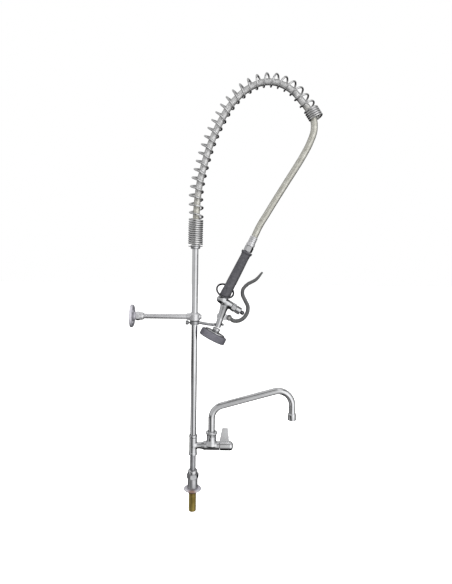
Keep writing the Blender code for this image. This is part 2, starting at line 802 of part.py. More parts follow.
def overhead_turn_rate(s, length):
    """Turns per metre: close at the foot and the far end, open between."""
    close, wide = 1 / TIGHT_PITCH, 1 / OPEN_PITCH
    blend = 0.008
    foot = min(max((TIGHT_FOOT + blend - s) / blend, 0.0), 1.0)
    end = min(max((s - (length - TIGHT_END - blend)) / blend, 0.0), 1.0)
    return wide + (close - wide) * max(foot, end)


def make_spring_and_hose(looks):
    chrome, steel = looks["chrome"], looks["steel"]
    collar_profile = (
        (PIPE_R + GAP, 0.6835),
        (0.0122, 0.6835),
        (0.0135, 0.6850),
        (0.0135, 0.6892),
        (0.0205, 0.6902),
        (0.0205, SPRING_BOTTOM - 0.0026),
        (0.0140, SPRING_BOTTOM - 0.0026),
        (0.0140, SPRING_BOTTOM - 0.0002),
        (PIPE_R + GAP, SPRING_BOTTOM - 0.0002),
    )
    turned("spring_collar", collar_profile, chrome)
    low, high = RISER_TOP + GAP, RISER_TOP + 0.0030
    sleeve("hose_washer", PIPE_BORE_R, PIPE_R - 0.0002, low, high, looks["rubber"], edge=0.0002)
    nut_profile = (
        (0.0050, SPRING_BOTTOM + GAP),
        (0.0110, SPRING_BOTTOM + GAP),
        (0.0110, SPRING_BOTTOM + 0.0013, "flats"),
        (0.0110, 0.7105, "flats"),
        (0.0110, 0.7115),
        (0.0050, 0.7115),
    )
    turned("hose_lower_nut", nut_profile, steel, segments=12, sides=6)
    sleeve("hose_lower_ferrule", 0.0050, 0.0108, 0.7118, HOSE_FOOT - 2 * GAP, steel, edge=0.0010)
    line = spring_centreline(260)
    coil("overhead_spring", line, SPRING_MEAN_R, SPRING_WIRE_R, overhead_turn_rate, 10, steel)
    curve = bpy.data.curves.new("hose", "CURVE")
    curve.dimensions = "3D"
    curve.bevel_depth = HOSE_R
    curve.bevel_resolution = 2
    curve.use_fill_caps = True
    points = smoothed(list(HOSE_ROUTE), 40)
    spline = curve.splines.new("POLY")
    spline.points.add(len(points) - 1)
    for point, at in zip(spline.points, points):
        point.co = (*at, 1.0)
    curve.materials.append(steel)
    hose = bpy.data.objects.new("hose", curve)
    bpy.context.scene.collection.objects.link(hose)


# ---------------------------------------------------------------- spray valve
def make_grip(looks):
    chrome = looks["chrome"]
    sleeve("grip_tube", 0.0060, 0.0080, -0.0030, GRIP_LENGTH - 0.0010, chrome, GRIP_FOOT, GRIP_AXIS)
    grip_profile = (
        (0.0083, 0.0),
        (0.0140, 0.0),
        (0.0152, 0.0016),
        (0.0152, 0.0110),
        (0.0138, 0.0170),
        (0.0129, 0.0260),
        (0.0131, 0.0700),
        (0.0129, 0.1240),
        (0.0135, 0.1330),
        (0.0160, 0.1375),
        (0.0160, GRIP_LENGTH - 0.0008),
        (0.0152, GRIP_LENGTH),
        (0.0083, GRIP_LENGTH),
    )
    turned("spray_grip", grip_profile, looks["grip"], GRIP_FOOT, GRIP_AXIS)
    low = GRIP_LENGTH + GAP
    nut_profile = (
        (0.0050, low),
        (0.0112, low),
        (0.0112, low + 0.0010, "flats"),
        (0.0112, low + 0.0160, "flats"),
        (0.0112, low + 0.0170),
        (0.0050, low + 0.0170),
    )
    turned("hose_end_nut", nut_profile, chrome, GRIP_FOOT, GRIP_AXIS, segments=12, sides=6)
    ferrule_profile = (
        (0.0050, low + 0.0173),
        (0.0120, low + 0.0173),
        (0.0124, low + 0.0190),
        (0.0124, low + 0.0230),
        (0.0114, low + 0.0250),
        (0.0110, 0.1872),
        (0.0100, 0.1882),
        (0.0050, 0.1882),
    )
    turned("hose_end_ferrule", ferrule_profile, looks["steel"], GRIP_FOOT, GRIP_AXIS)
    side = GRIP_AXIS.cross(ACROSS).normalized() * -1
    lean = ACROSS * -math.cos(RING_TILT) - GRIP_AXIS * math.sin(RING_TILT)
    centre = GRIP_FOOT + GRIP_AXIS * RING_HEIGHT + side * RING_SIDE
    ring_profile = [(RING_R + x, y) for x, y in arc((0, 0), RING_WIRE_R, 0, 300, 6)]
    turned("hold_ring", ring_profile, looks["steel"], centre, side.cross(lean), segments=24)


def make_valve_body(looks):
    """The spray valve's casting: barrel, grip socket, outlet neck and the lever's lug."""
    chrome = looks["chrome"]
    dome = [(radius, along) for along, radius in arc((-0.0120, 0), VALVE_BARREL_R - 0.0010, 178, 110, 5)]
    barrel_profile = [
        (0, -0.0120 - VALVE_BARREL_R + 0.0010),
        *dome,
        (VALVE_BARREL_R, -0.0100),
        (VALVE_BARREL_R, 0.0245),
        (VALVE_BARREL_R - 0.0010, 0.0260),
        (0, 0.0260),
    ]
    body = turned("valve_body", barrel_profile, chrome, VALVE_CENTRE, BARREL_AXIS)
    socket = turned(
        "socket",
        ((0, -0.0020), (0.0112, -0.0020), (0.0112, 0.0118), (0.0104, 0.0128), (0, 0.0128)),
        chrome,
        VALVE_CENTRE,
        GRIP_AXIS,
    )
    neck_profile = (
        (0, 0),
        (0.0124, 0.0020),
        (0.0119, 0.0120),
        (0.0107, 0.0220),
        (0.0095, 0.0340),
        (NECK_R, 0.0470),
        (NECK_R, NECK_LENGTH - 0.0010),
        (0, NECK_LENGTH),
    )
    neck = turned("neck", neck_profile, chrome, NECK_START, NECK_AXIS)
    reach = LEVER_PIVOT - Vector((0.0740, 0, 0.4890))
    outline = [
        (0.0, -0.0075),
        *[(reach.x + x, y) for x, y in arc((0, 0), 0.0060, -90, 90, 7)],
        (0.0020, 0.0160),
    ]
    upright = Matrix(((1, 0, 0, 0.0740), (0, 0, -1, 0), (0, 1, 0, 0.4890), (0, 0, 0, 1)))
    lug = slab("lug", outline, -0.0036, 0.0036, chrome, upright)
    combined(body, [socket, neck, lug], "UNION")
    cutters = [
        cutter(0.0086, -0.0160, 0.0400, VALVE_CENTRE, BARREL_AXIS),
        cutter(0.0083, -0.0064, 0.0400, GRIP_FOOT, GRIP_AXIS),
        cutter(0.0052, 0.0040, NECK_LENGTH + 0.01, NECK_START, NECK_AXIS, 12),
        cutter(0.0028, -0.02, 0.02, LEVER_PIVOT, ACROSS, 12),
    ]
    combined(body, cutters, "DIFFERENCE")


def make_valve_inside(looks):
    """The bonnet, and the plunger with its rubber disc and return spring."""
    chrome, brass = looks["chrome"], looks["brass"]
    bonnet_profile = (
        (0.0052, -0.0022),
        (0.0083, -0.0022),
        (0.0083, 0.0263),
        (0.0104, 0.0263),
        (0.0104, 0.0273, "flats"),
        (0.0104, 0.0380, "flats"),
        (0.0104, 0.0385),
        (0.0101, 0.0390),
        (0.0101, 0.0495),
        (0.0093, 0.0502),
        (0.0064, 0.0502),
        (0.0064, 0.0470),
        (0.0044, 0.0465),
        (0.0044, 0.0250),
        (0.0052, 0.0240),
    )
    turned("valve_bonnet", bonnet_profile, chrome, VALVE_CENTRE, BARREL_AXIS, segments=12, sides=6)
    plunger_profile = (
        (0, -0.0022),
        (0.0036, -0.0022),
        (0.0040, -0.0016),
        (0.0040, 0.0560),
        (0.0054, 0.0562),
        (0.0058, 0.0570),
        (0.0058, 0.0625),
        (0.0046, 0.0656),
        (0.0022, 0.0670),
        (0, 0.0673),
    )
    turned("plunger", plunger_profile, chrome, VALVE_CENTRE, BARREL_AXIS)
    turned(
        "valve_disc",
        ((0, -0.0058), (0.0070, -0.0058), (0.0072, -0.0054), (0.0072, -0.0026), (0, -0.0026)),
        looks["rubber"],
        VALVE_CENTRE,
        BARREL_AXIS,
        segments=16,
    )
    start, end = VALVE_CENTRE - BARREL_AXIS * 0.0152, VALVE_CENTRE - BARREL_AXIS * 0.0067
    line = [start.lerp(end, i / 20) for i in range(21)]
    coil("plunger_spring", line, 0.0052, 0.0005, lambda s, length: 4 / length, 8, brass, ACROSS)


def lever_line():
    """The squeeze lever's centreline: under the plunger, round it, in at the waist and out to the tip."""
    route = (
        LEVER_PIVOT,
        Vector((0.1110, 0, 0.4805)),
        Vector((0.1265, 0, 0.4812)),
        Vector((0.1411, 0, 0.4908)),
        Vector((0.1497, 0, 0.5060)),
        Vector((0.1507, 0, 0.5213)),
        Vector((0.1427, 0, 0.5388)),
        Vector((0.1353, 0, 0.5560)),
        Vector((0.1362, 0, 0.5695)),
        Vector((0.1475, 0, 0.5830)),
        Vector((0.1735, 0, 0.5990)),
        Vector((0.1905, 0, 0.6187)),
    )
    return smoothed(list(route), 26)


def make_lever(looks):
    line = lever_line()
    sizes = []
    for i in range(len(line)):
        share = i / (len(line) - 1)
        paddle = min(max((share - 0.55) / 0.25, 0.0), 1.0)
        taper = 1.0 - 0.45 * max(0.0, (share - 0.80) / 0.20) ** 2
        sizes.append(((0.0062 + 0.0028 * paddle) * taper, (0.0056 - 0.0010 * paddle) * taper))
    lever = swept("squeeze_lever", line, sizes, looks["lever"], ACROSS, segments=8)
    boss = rod("boss", 0.0078, -0.0078, 0.0078, looks["lever"], LEVER_PIVOT, ACROSS, edge=0.0010)
    combined(lever, [boss], "UNION")
    room = slab(
        "room",
        [(-0.0200, -0.0090), (0.0098, -0.0140), (0.0098, 0.0120), (-0.0200, 0.0120)],
        -0.0040,
        0.0040,
        looks["lever"],
        Matrix(((1, 0, 0, LEVER_PIVOT.x), (0, 0, -1, 0), (0, 1, 0, LEVER_PIVOT.z), (0, 0, 0, 1))),
    )
    combined(lever, [room, cutter(0.0028, -0.02, 0.02, LEVER_PIVOT, ACROSS, 12)], "DIFFERENCE")
    pin_profile = (
        (0, -0.0095),
        (0.0030, -0.0095),
        (0.0040, -0.0089),
        (0.0040, -0.0081),
        (0.0025, -0.0081),
        (0.0025, 0.0086),
        (0.0020, 0.0092),
        (0, 0.0092),
    )
    turned("lever_pin", pin_profile, looks["steel"], LEVER_PIVOT, ACROSS)


def make_spray_head(looks):
    """The head at the neck's end. Heights run down the head's own axis from the neck."""
    chrome, rubber = looks["chrome"], looks["rubber"]
    down = -HEAD_AXIS
    nut_profile = (
        (0.0052, 0.0022),
        (0.0092, 0.0022),
        (0.0108, 0.0040),
        (0.0108, 0.0085),
        (0.0098, 0.0102),
        (0.0052, 0.0102),
    )
    turned("head_nut", nut_profile, chrome, NECK_END, down)
    shell_profile = (
        (0.0052, 0.0105),
        (0.0098, 0.0105),
        (0.0125, 0.0120),
        (0.0280, 0.0137),
        (0.0295, 0.0146),
        (0.0295, 0.0165),
        (0.0285, 0.0172),
        (0.0195, 0.0172),
        (0.0195, 0.0322),
        (0.0165, 0.0322),
        (0.0165, 0.0165),
        (0.0052, 0.0155),
    )
    turned("spray_head_shell", shell_profile, chrome, NECK_END, down, segments=24)
    top, bottom = 0.0175, 0.0375
    bumper_profile = (
        (0.0198, top),
        (BUMPER_R - 0.0040, top),
        (BUMPER_R - 0.0014, top + 0.0012),
        (BUMPER_R, top + 0.0038),
        (BUMPER_R, bottom - 0.0030),
        (BUMPER_R - 0.0010, bottom - 0.0010),
        (BUMPER_R - 0.0032, bottom),
        (0.0270, bottom),
        (0.0265, 0.0325),
        (0.0198, 0.0325),
    )
    turned("rubber_bumper", bumper_profile, rubber, NECK_END, down, segments=24)
    steel = looks["steel"]
    face = sleeve("spray_face", 0.0027, 0.0260, 0.0328, 0.0347, steel, NECK_END, down, edge=0.0003)
    jets = []
    frame = placed(NECK_END, down)
    for i in range(10):
        angle = 2 * math.pi * (i + 0.5) / 10
        at = frame @ Vector((0.0115 * math.cos(angle), 0.0115 * math.sin(angle), 0))
        jets.append(cutter(0.0011, 0.03, 0.04, at, down, 6))
    combined(face, jets, "DIFFERENCE")
    screw_profile = (
        (0, 0.0285),
        (0.0024, 0.0285),
        (0.0024, 0.0350),
        (0.0048, 0.0350),
        (0.0048, 0.0360),
        (0.0036, 0.0370),
        (0, 0.0373),
    )
    turned("face_screw", screw_profile, steel, NECK_END, down)


def main():
    for old in list(bpy.data.objects):
        bpy.data.objects.remove(old)
    looks = make_finishes()
    make_base(looks)
    make_faucet_body(looks)
    make_faucet_valve(looks)
    make_spout(looks)
    make_riser_and_bracket(looks)
    make_finger_hook(looks)
    make_spring_and_hose(looks)
    make_grip(looks)
    make_valve_body(looks)
    make_valve_inside(looks)
    make_lever(looks)
    make_spray_head(looks)


main()
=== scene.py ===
"""Looks for a deck-mounted pre-rinse faucet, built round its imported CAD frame.

The frame gives every piece its place and its body. Each visible piece is rebuilt here at full detail, in
metres and in the frame's axes, and stands for its CAD node. Turned pieces come from rounded profiles,
castings from blended distance fields, and the hose and the spring are swept along the CAD's own route.
"""

import json
import math
import bmesh
import bpy
import numpy as np
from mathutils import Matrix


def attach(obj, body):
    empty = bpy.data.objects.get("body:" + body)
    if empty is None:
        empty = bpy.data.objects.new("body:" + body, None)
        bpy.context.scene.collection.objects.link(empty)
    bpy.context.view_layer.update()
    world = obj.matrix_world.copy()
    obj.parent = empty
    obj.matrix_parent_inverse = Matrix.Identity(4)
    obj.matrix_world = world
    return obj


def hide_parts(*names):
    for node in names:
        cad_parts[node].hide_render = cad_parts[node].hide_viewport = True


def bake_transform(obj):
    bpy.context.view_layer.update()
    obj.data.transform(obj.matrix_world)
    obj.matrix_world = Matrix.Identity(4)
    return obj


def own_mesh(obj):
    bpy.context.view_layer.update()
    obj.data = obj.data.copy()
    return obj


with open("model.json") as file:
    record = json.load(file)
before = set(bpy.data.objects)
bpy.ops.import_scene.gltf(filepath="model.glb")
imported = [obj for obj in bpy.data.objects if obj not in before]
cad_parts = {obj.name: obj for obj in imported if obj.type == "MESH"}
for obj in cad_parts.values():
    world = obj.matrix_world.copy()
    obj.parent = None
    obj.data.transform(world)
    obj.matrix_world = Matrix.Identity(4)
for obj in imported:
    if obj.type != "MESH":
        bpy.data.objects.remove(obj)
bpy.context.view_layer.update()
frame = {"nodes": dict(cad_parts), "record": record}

import openvdb
from mathutils import Matrix, Vector

# ---------------------------------------------------------------- dimensions, as in the CAD source
GAP = 0.0003
SHANK_R, SHANK_BORE_R, SHANK_BOTTOM = 0.0106, 0.0070, -0.059
FLANGE_R, FLANGE_TOP = 0.0245, 0.0062
BODY_R, BODY_TOP = 0.0142, 0.0330
UNION_FLATS_R, UNION_TOP = 0.0150, 0.0470
COLLAR_R, COLLAR_TOP = 0.0137, 0.0580
NIPPLE_R = 0.0082
PIPE_R, PIPE_BORE_R, RISER_TOP = 0.00855, 0.0063, 0.6840
TEE_BOTTOM, TEE_TOP, TEE_R = 0.0990, 0.1560, 0.0109
BARREL_Z, BARREL_R, BARREL_START, BARREL_END = 0.1255, 0.0119, 0.0290, 0.0750
HUB_R, HUB_END, BLADE_TOP = 0.0128, 0.1130, 0.1755
SWIVEL_X, BOSS_TOP, NUT_TOP = 0.0520, 0.1520, 0.1670
SPOUT_R, SPOUT_BORE_R, SPOUT_FOOT = 0.0094, 0.0079, 0.1405
SPOUT_BEND_START, SPOUT_BEND_1, SPOUT_BEND_2 = 0.2030, 0.0380, 0.0400
SPOUT_RISE, SPOUT_STRAIGHT, SPOUT_DROP = math.radians(15.6), 0.1550, 0.0320
OUTLET_LENGTH, OUTLET_R = 0.0200, 0.0115
ARM_Z, ARM_R = 0.4910, 0.0070
BRACKET_COLLAR_R, BRACKET_COLLAR_HALF = 0.0150, 0.0110
WALL_X, WALL_FLANGE_R = -0.1810, 0.0320
HOOK_Z, HOOK_ROD_R, HOOK_CROOK_R = 0.4740, 0.0036, 0.0128
SPRING_BOTTOM, SPRING_WIRE_R, SPRING_MEAN_R = 0.6945, 0.0026, 0.0183
TIGHT_PITCH, OPEN_PITCH, TIGHT_FOOT, TIGHT_END = 0.0060, 0.0240, 0.0660, 0.0240
SPRING_OFFSET = 0.0054
HOSE_R, HOSE_FOOT = 0.0096, 0.7360
GRIP_FOOT, GRIP_TILT, GRIP_LENGTH = Vector((0.0885, 0.0, 0.5478)), math.radians(24.5), 0.1420
VALVE_CENTRE, BARREL_DROP, VALVE_BARREL_R = Vector((0.0830, 0.0, 0.5357)), math.radians(31.8), 0.0115
NECK_START, NECK_LEAN = Vector((0.0880, 0.0, 0.5330)), math.radians(17.5)
NECK_LENGTH, NECK_R = 0.0750, 0.0083
HEAD_AXIS = Vector((0.450, 0.070, 0.890)).normalized()
BUMPER_R = 0.0385
LEVER_PIVOT = Vector((0.0980, 0.0, 0.4890))
RING_R, RING_TILT = 0.0252, math.radians(39.0)

# ---------------------------------------------------------------- dimensions of the visible pieces alone
HANDLE_EXTRA = math.radians(2.0)
RING_WIRE_R, RING_HEIGHT, RING_SIDE = 0.0026, 0.0143, -0.0050
HEAD_BORE_R, PIN_HOLE_R, GRIP_BORE_R = 0.0052, 0.0028, 0.0083
CROOK_Z, SCREW_CIRCLE_R = 0.4685, 0.0225
FALLING_X, SPRING_END_Z, OFFSET_FROM_Z = 0.29, 1.0460, 0.780

UP, ALONG_X, ACROSS = Vector((0, 0, 1)), Vector((1, 0, 0)), Vector((0, 1, 0))
GRIP_AXIS = Vector((math.sin(GRIP_TILT), 0, math.cos(GRIP_TILT)))
HANDLE_AXIS = Vector((math.sin(GRIP_TILT + HANDLE_EXTRA), 0, math.cos(GRIP_TILT + HANDLE_EXTRA)))
HANDLE_FOOT = GRIP_FOOT + (GRIP_AXIS - HANDLE_AXIS) * GRIP_LENGTH
BARREL_AXIS = Vector((math.cos(BARREL_DROP), 0, -math.sin(BARREL_DROP)))
NECK_AXIS = Vector((-math.sin(NECK_LEAN), 0, -math.cos(NECK_LEAN)))
NECK_END = NECK_START + NECK_AXIS * NECK_LENGTH
HOSE_END = GRIP_FOOT + GRIP_AXIS * 0.1895

HOSE_ROUTE = tuple(Vector(point) for point in (
    (0.000, 0.000, HOSE_FOOT), (0.001, 0.000, 0.771), (0.004, 0.000, 0.821), (0.010, 0.000, 0.870),
    (0.020, 0.000, 0.915), (0.032, 0.000, 0.959), (0.048, -0.001, 1.004), (0.069, -0.002, 1.049),
    (0.092, -0.003, 1.088), (0.119, -0.005, 1.118), (0.149, -0.008, 1.141), (0.182, -0.012, 1.154),
    (0.216, -0.017, 1.154), (0.245, -0.022, 1.143), (0.271, -0.027, 1.124), (0.291, -0.032, 1.099),
    (0.310, -0.036, 1.074), (0.324, -0.039, 1.046), (0.326, -0.040, 1.016), (0.316, -0.038, 0.983),
    (0.298, -0.033, 0.946), (0.275, -0.026, 0.907), (0.250, -0.018, 0.866), (0.224, -0.010, 0.823),
    (0.201, -0.004, 0.784), (0.182, 0.000, 0.752), HOSE_END,
))
ARC_FOCUS = Vector((0.165, 0.0, 0.960))

SLOTS = {row["node"]: row["material_slot"] for row in frame["record"]["subparts"]}
BODIES = {node: body for body, nodes in frame["record"]["behaviour"]["bodies"].items() for node in nodes}


# ---------------------------------------------------------------- camera
def make_camera():
    """A camera at the height of the riser's upper end, straight in front, with a slight roll."""
    data = bpy.data.cameras.new("camera")
    data.lens = 30.82
    data.sensor_width = 36.0
    data.shift_x = -0.0010
    data.shift_y = -0.0805
    camera = bpy.data.objects.new("camera", data)
    bpy.context.scene.collection.objects.link(camera)
    camera.location = (0.0883, -1.4200, 0.6955)
    camera.rotation_euler = (math.radians(90), math.radians(-0.7), 0)
    bpy.context.scene.camera = camera


make_camera()


# ---------------------------------------------------------------- materials
class Nodes:
    """A node tree under construction, with the helpers that a material and the world share."""

    def __init__(self, tree):
        self.tree = tree

    def node(self, kind, **settings):
        made = self.tree.nodes.new(kind)
        for key, value in settings.items():
            if hasattr(made, key):
                setattr(made, key, value)
            else:
                made.inputs[key].default_value = value
        return made

    def link(self, output, target):
        self.tree.links.new(output, target)

    def ramp(self, value, *stops, mode="LINEAR"):
        """stops are (position, grey or colour)."""
        made = self.node("ShaderNodeValToRGB")
        made.color_ramp.interpolation = mode
        elements = made.color_ramp.elements
        while len(elements) < len(stops):
            elements.new(0.5)
        for element, (position, colour) in zip(elements, stops):
            element.position = position
            element.color = (*colour, 1) if isinstance(colour, tuple) else (colour,) * 3 + (1,)
        self.link(value, made.inputs["Fac"])
        return made.outputs["Color"]

    def math(self, operation, a, b):
        made = self.node("ShaderNodeMath", operation=operation)
        for i, value in enumerate((a, b)):
            if isinstance(value, (int, float)):
                made.inputs[i].default_value = value
            else:
                self.link(value, made.inputs[i])
        return made.outputs[0]


class Look(Nodes):
    """A node material under construction: a Principled shader and helpers that feed it."""

    def __init__(self, name):
        self.material = bpy.data.materials.new(name)
        self.material.use_nodes = True
        super().__init__(self.material.node_tree)
        self.shader = self.tree.nodes["Principled BSDF"]
        self.coordinates = self.node("ShaderNodeTexCoord").outputs["Object"]

    def set(self, **values):
        for key, value in values.items():
            self.shader.inputs[key.replace("_", " ")].default_value = value

    def stretched(self, scale):
        mapping = self.node("ShaderNodeMapping", Scale=scale)
        self.link(self.coordinates, mapping.inputs["Vector"])
        return mapping.outputs["Vector"]

    def noise(self, scale, detail=3.0, roughness=0.55, vector=None):
        made = self.node("ShaderNodeTexNoise", Scale=scale, Detail=detail, Roughness=roughness)
        self.link(vector or self.coordinates, made.inputs["Vector"])
        return made.outputs["Fac"]

    def span(self, value, low, high):
        """A 0 to 1 value stretched between two limits."""
        made = self.node("ShaderNodeMapRange")
        made.inputs["To Min"].default_value = low
        made.inputs["To Max"].default_value = high
        self.link(value, made.inputs["Value"])
        return made.outputs["Result"]

    def mix(self, factor, a, b):
        made = self.node("ShaderNodeMix", data_type="RGBA")
        for socket, value in ((made.inputs[0], factor), (made.inputs[6], a), (made.inputs[7], b)):
            if isinstance(value, (int, float)):
                socket.default_value = value
            elif isinstance(value, tuple):
                socket.default_value = (*value, 1)
            else:
                self.link(value, socket)
        return made.outputs[2]

    def patched(self, value, low, high, first, second):
        """One colour turning into another as a value passes between two limits."""
        return self.mix(self.ramp(value, (low, 0.0), (high, 1.0)), first, second)

    def colour(self, value, edge=0.0, turned_away_shade_colour=(0.04, 0.04, 0.045)):
        """Sets the base colour, with painted shade of strength edge where the surface turns away from the
        view.
        """
        if edge:
            # painted shade: the colour turns darker where the surface turns away from the view, standing
            # in for dark reflections at the rims
            facing = self.node("ShaderNodeLayerWeight", Blend=0.5).outputs["Facing"]
            turning = self.math("MULTIPLY", self.ramp(facing, (0.30, 0.0), (0.74, 1.0)), edge)
            value = self.mix(turning, value, turned_away_shade_colour)
        self.link(value, self.shader.inputs["Base Color"])

    def roughness(self, value):
        self.link(value, self.shader.inputs["Roughness"])

    def bump(self, height, distance, strength=1.0):
        made = self.node("ShaderNodeBump", Strength=strength, Distance=distance)
        self.link(height, made.inputs["Height"])
        self.link(made.outputs["Normal"], self.shader.inputs["Normal"])


def metal(
    name, light, dark, rough_low, rough_high,
    grain=(1, 1, 1), peel=0.00002, edge=0.70, under=0.0, metallic=1.0,
):
    """Polished or drawn metal: patchy tone, smudged gloss, water spots and a faint surface ripple.

    grain stretches the drawing marks and peel is the ripple's depth. edge paints shade on the metal where
    it turns away from the view, and under paints shade on the sides that face down.
    """
    look = Look(name)
    look.set(Metallic=metallic)
    patches = look.noise(38.0, 4.0)
    smudges = look.noise(150.0, 5.0, 0.65)
    drawn = look.noise(520.0, 2.0, vector=look.stretched(grain))
    tone = look.patched(patches, 0.35, 0.70, light, dark)
    # painted shade: faces that point down are darkened towards near black
    if under:
        split = look.node("ShaderNodeSeparateXYZ")
        look.link(look.node("ShaderNodeNewGeometry").outputs["Normal"], split.inputs[0])
        below = look.ramp(look.math("MULTIPLY", split.outputs["Z"], -1.0), (0.06, 0.0), (0.40, 1.0))
        tone = look.mix(look.math("MULTIPLY", below, under), tone, (0.015, 0.015, 0.017))
    look.colour(tone, edge)
    spots = look.node("ShaderNodeTexVoronoi", feature="F1", Scale=210.0)
    look.link(look.coordinates, spots.inputs["Vector"])
    spotted = look.ramp(spots.outputs["Distance"], (0.10, 1.0), (0.17, 0.0))
    smudged = look.ramp(smudges, (0.40, 0.0), (0.72, 0.8))
    uneven = look.math("ADD", smudged, look.math("MULTIPLY", spotted, 0.22))
    uneven = look.math("ADD", uneven, look.math("MULTIPLY", drawn, 0.25))
    look.roughness(look.span(uneven, rough_low, rough_high))
    look.bump(look.math("ADD", look.math("MULTIPLY", smudges, 0.5), drawn), peel)
    return look.material


def moulded(name, specular, wear, new, used, edge, turned_away_shade_colour, gloss, grain, depth):
    """Rubber or plastic: handled patches, painted shade on edges that turn away from the view, uneven
    gloss and a fine grain.

    wear and gloss are (noise settings, low, high), the limits of the patches and of the roughness.
    """
    look = Look(name)
    look.set(Specular_IOR_Level=specular)
    settings, low, high = wear
    # painted shade: darker where the surface turns away from the view
    look.colour(look.patched(look.noise(*settings), low, high, new, used), edge, turned_away_shade_colour)
    settings, low, high = gloss
    look.roughness(look.span(look.noise(*settings), low, high))
    look.bump(look.noise(grain, 2.0), depth)
    return look.material


def satin_look():
    """Dulled chrome plate with a brown stain at the front of a flange."""
    look = Look("satin_chrome")
    look.set(Metallic=0.35)
    clouds = look.noise(70.0, 4.0)
    plate = look.patched(clouds, 0.35, 0.70, (0.80, 0.78, 0.84), (0.60, 0.59, 0.65))
    spot = look.node("ShaderNodeVectorMath", operation="DISTANCE")
    look.link(look.coordinates, spot.inputs[0])
    spot.inputs[1].default_value = (0.0, -0.0240, 0.0)
    near = look.math("ADD", spot.outputs["Value"], look.math("MULTIPLY", look.noise(260.0, 3.0), 0.006))
    stain = look.ramp(look.math("MULTIPLY", near, 20.0), (0.20, 0.95), (0.36, 0.0))
    # painted shade where the plate turns away from the view
    look.colour(look.mix(stain, plate, (0.34, 0.20, 0.15)), 0.75, (0.12, 0.12, 0.14))
    look.roughness(look.span(look.noise(200.0, 4.0), 0.38, 0.56))
    look.bump(clouds, 0.00004)
    return look.material


def hose_look():
    """Wound steel strip, yellowed on the free length below the arc and near the riser."""
    look = Look("hose_steel")
    look.set(Metallic=0.65)
    weave = look.noise(900.0, 2.0)
    clean = look.patched(look.noise(110.0), 0.3, 0.7, (0.97, 0.97, 0.97), (0.62, 0.62, 0.62))
    yellowed = look.patched(look.noise(80.0), 0.3, 0.7, (0.86, 0.85, 0.78), (0.62, 0.61, 0.54))
    place = look.node("ShaderNodeSeparateXYZ")
    look.link(look.coordinates, place.inputs[0])
    height = look.math("SUBTRACT", place.outputs["Z"], 0.5)
    free = look.ramp(place.outputs["X"], (0.15, 0.0), (0.20, 1.0))
    low = look.ramp(height, (0.30, 1.0), (0.36, 0.0))
    high = look.ramp(height, (0.56, 1.0), (0.59, 0.0))
    age = look.math("MAXIMUM", look.math("MULTIPLY", free, high), low)
    # painted shade where the hose turns away from the view
    look.colour(look.mix(age, clean, yellowed), 0.80, (0.06, 0.06, 0.05))
    look.roughness(look.span(weave, 0.20, 0.42))
    look.bump(weave, 0.00004)
    return look.material


def brass_look():
    """Tarnished brass, reddish near the shank's lower end."""
    look = Look("brass")
    look.set(Metallic=1.0)
    tarnish = look.noise(70.0, 5.0, 0.6)
    body = look.patched(tarnish, 0.35, 0.68, (0.58, 0.47, 0.17), (0.34, 0.26, 0.08))
    place = look.node("ShaderNodeSeparateXYZ")
    look.link(look.coordinates, place.inputs[0])
    height = look.math("ADD", look.math("MULTIPLY", place.outputs["Z"], 30.0), 0.08)
    ragged = look.math("ADD", height, look.math("MULTIPLY", tarnish, 0.5))
    look.colour(look.mix(look.ramp(ragged, (0.02, 0.0), (0.12, 1.0)), body, (0.36, 0.21, 0.15)))
    look.roughness(look.span(tarnish, 0.26, 0.46))
    look.bump(look.noise(600.0, 3.0), 0.00003)
    return look.material


def make_looks():
    bright, soft = (0.86, 0.865, 0.88), (0.76, 0.765, 0.78)
    # each edge value paints shade where a surface turns away from the view
    return {
        "chrome": metal("chrome", (0.80, 0.805, 0.82), (0.70, 0.705, 0.72), 0.06, 0.18),
        "tube": metal("tube_chrome", bright, soft, 0.07, 0.18, (1, 1, 0.03), edge=0.60),
        # the cast look's under paints shade on its downward faces
        "cast": metal(
            "cast_chrome", bright, (0.66, 0.665, 0.68), 0.08, 0.24, peel=0.00005, edge=0.75, under=0.95
        ),
        "steel": metal("steel", (0.60, 0.595, 0.58), (0.47, 0.465, 0.45), 0.16, 0.34),
        "spring": metal("spring_steel", (0.95, 0.95, 0.95), (0.74, 0.74, 0.75), 0.10, 0.24, edge=0.45),
        "worn": metal(
            "worn_chrome", (0.64, 0.645, 0.66), (0.44, 0.445, 0.46), 0.26, 0.44, peel=0.00006, edge=0.65
        ),
        "pale": metal(
            "pale_chrome", (0.84, 0.84, 0.86), (0.78, 0.78, 0.80), 0.24, 0.32,
            peel=0.000002, edge=0.50, metallic=0.8,
        ),
        "satin": satin_look(),
        "ring": metal("dark_wire", (0.20, 0.20, 0.21), (0.12, 0.12, 0.13), 0.15, 0.32, edge=0.8),
        "hose": hose_look(),
        "brass": brass_look(),
        "rubber": moulded(
            "rubber", 0.35, ((55.0, 5.0, 0.6), 0.35, 0.75), (0.150, 0.147, 0.172), (0.210, 0.205, 0.235),
            0.55, (0.04, 0.04, 0.05), ((240.0, 3.0), 0.45, 0.68), 1500.0, 0.00005,
        ),
        "grip": moulded(
            "grip", 0.45, ((130.0, 5.0, 0.7), 0.35, 0.68), (0.070, 0.070, 0.080), (0.135, 0.132, 0.145),
            0.75, (0.02, 0.02, 0.022), ((300.0, 4.0), 0.36, 0.55), 2200.0, 0.00004,
        ),
        "lever": moulded(
            "lever", 0.50, ((90.0, 6.0, 0.7), 0.45, 0.80), (0.105, 0.106, 0.108), (0.17, 0.17, 0.17),
            0.60, (0.02, 0.02, 0.02), ((260.0, 4.0), 0.28, 0.48), 1300.0, 0.00005,
        ),
    }


LOOKS = make_looks()


# ---------------------------------------------------------------- mesh helpers
def placed(origin, direction):
    """The matrix that takes local +Z to a direction at an origin."""
    return Matrix.Translation(origin) @ direction.to_track_quat("Z", "Y").to_matrix().to_4x4()


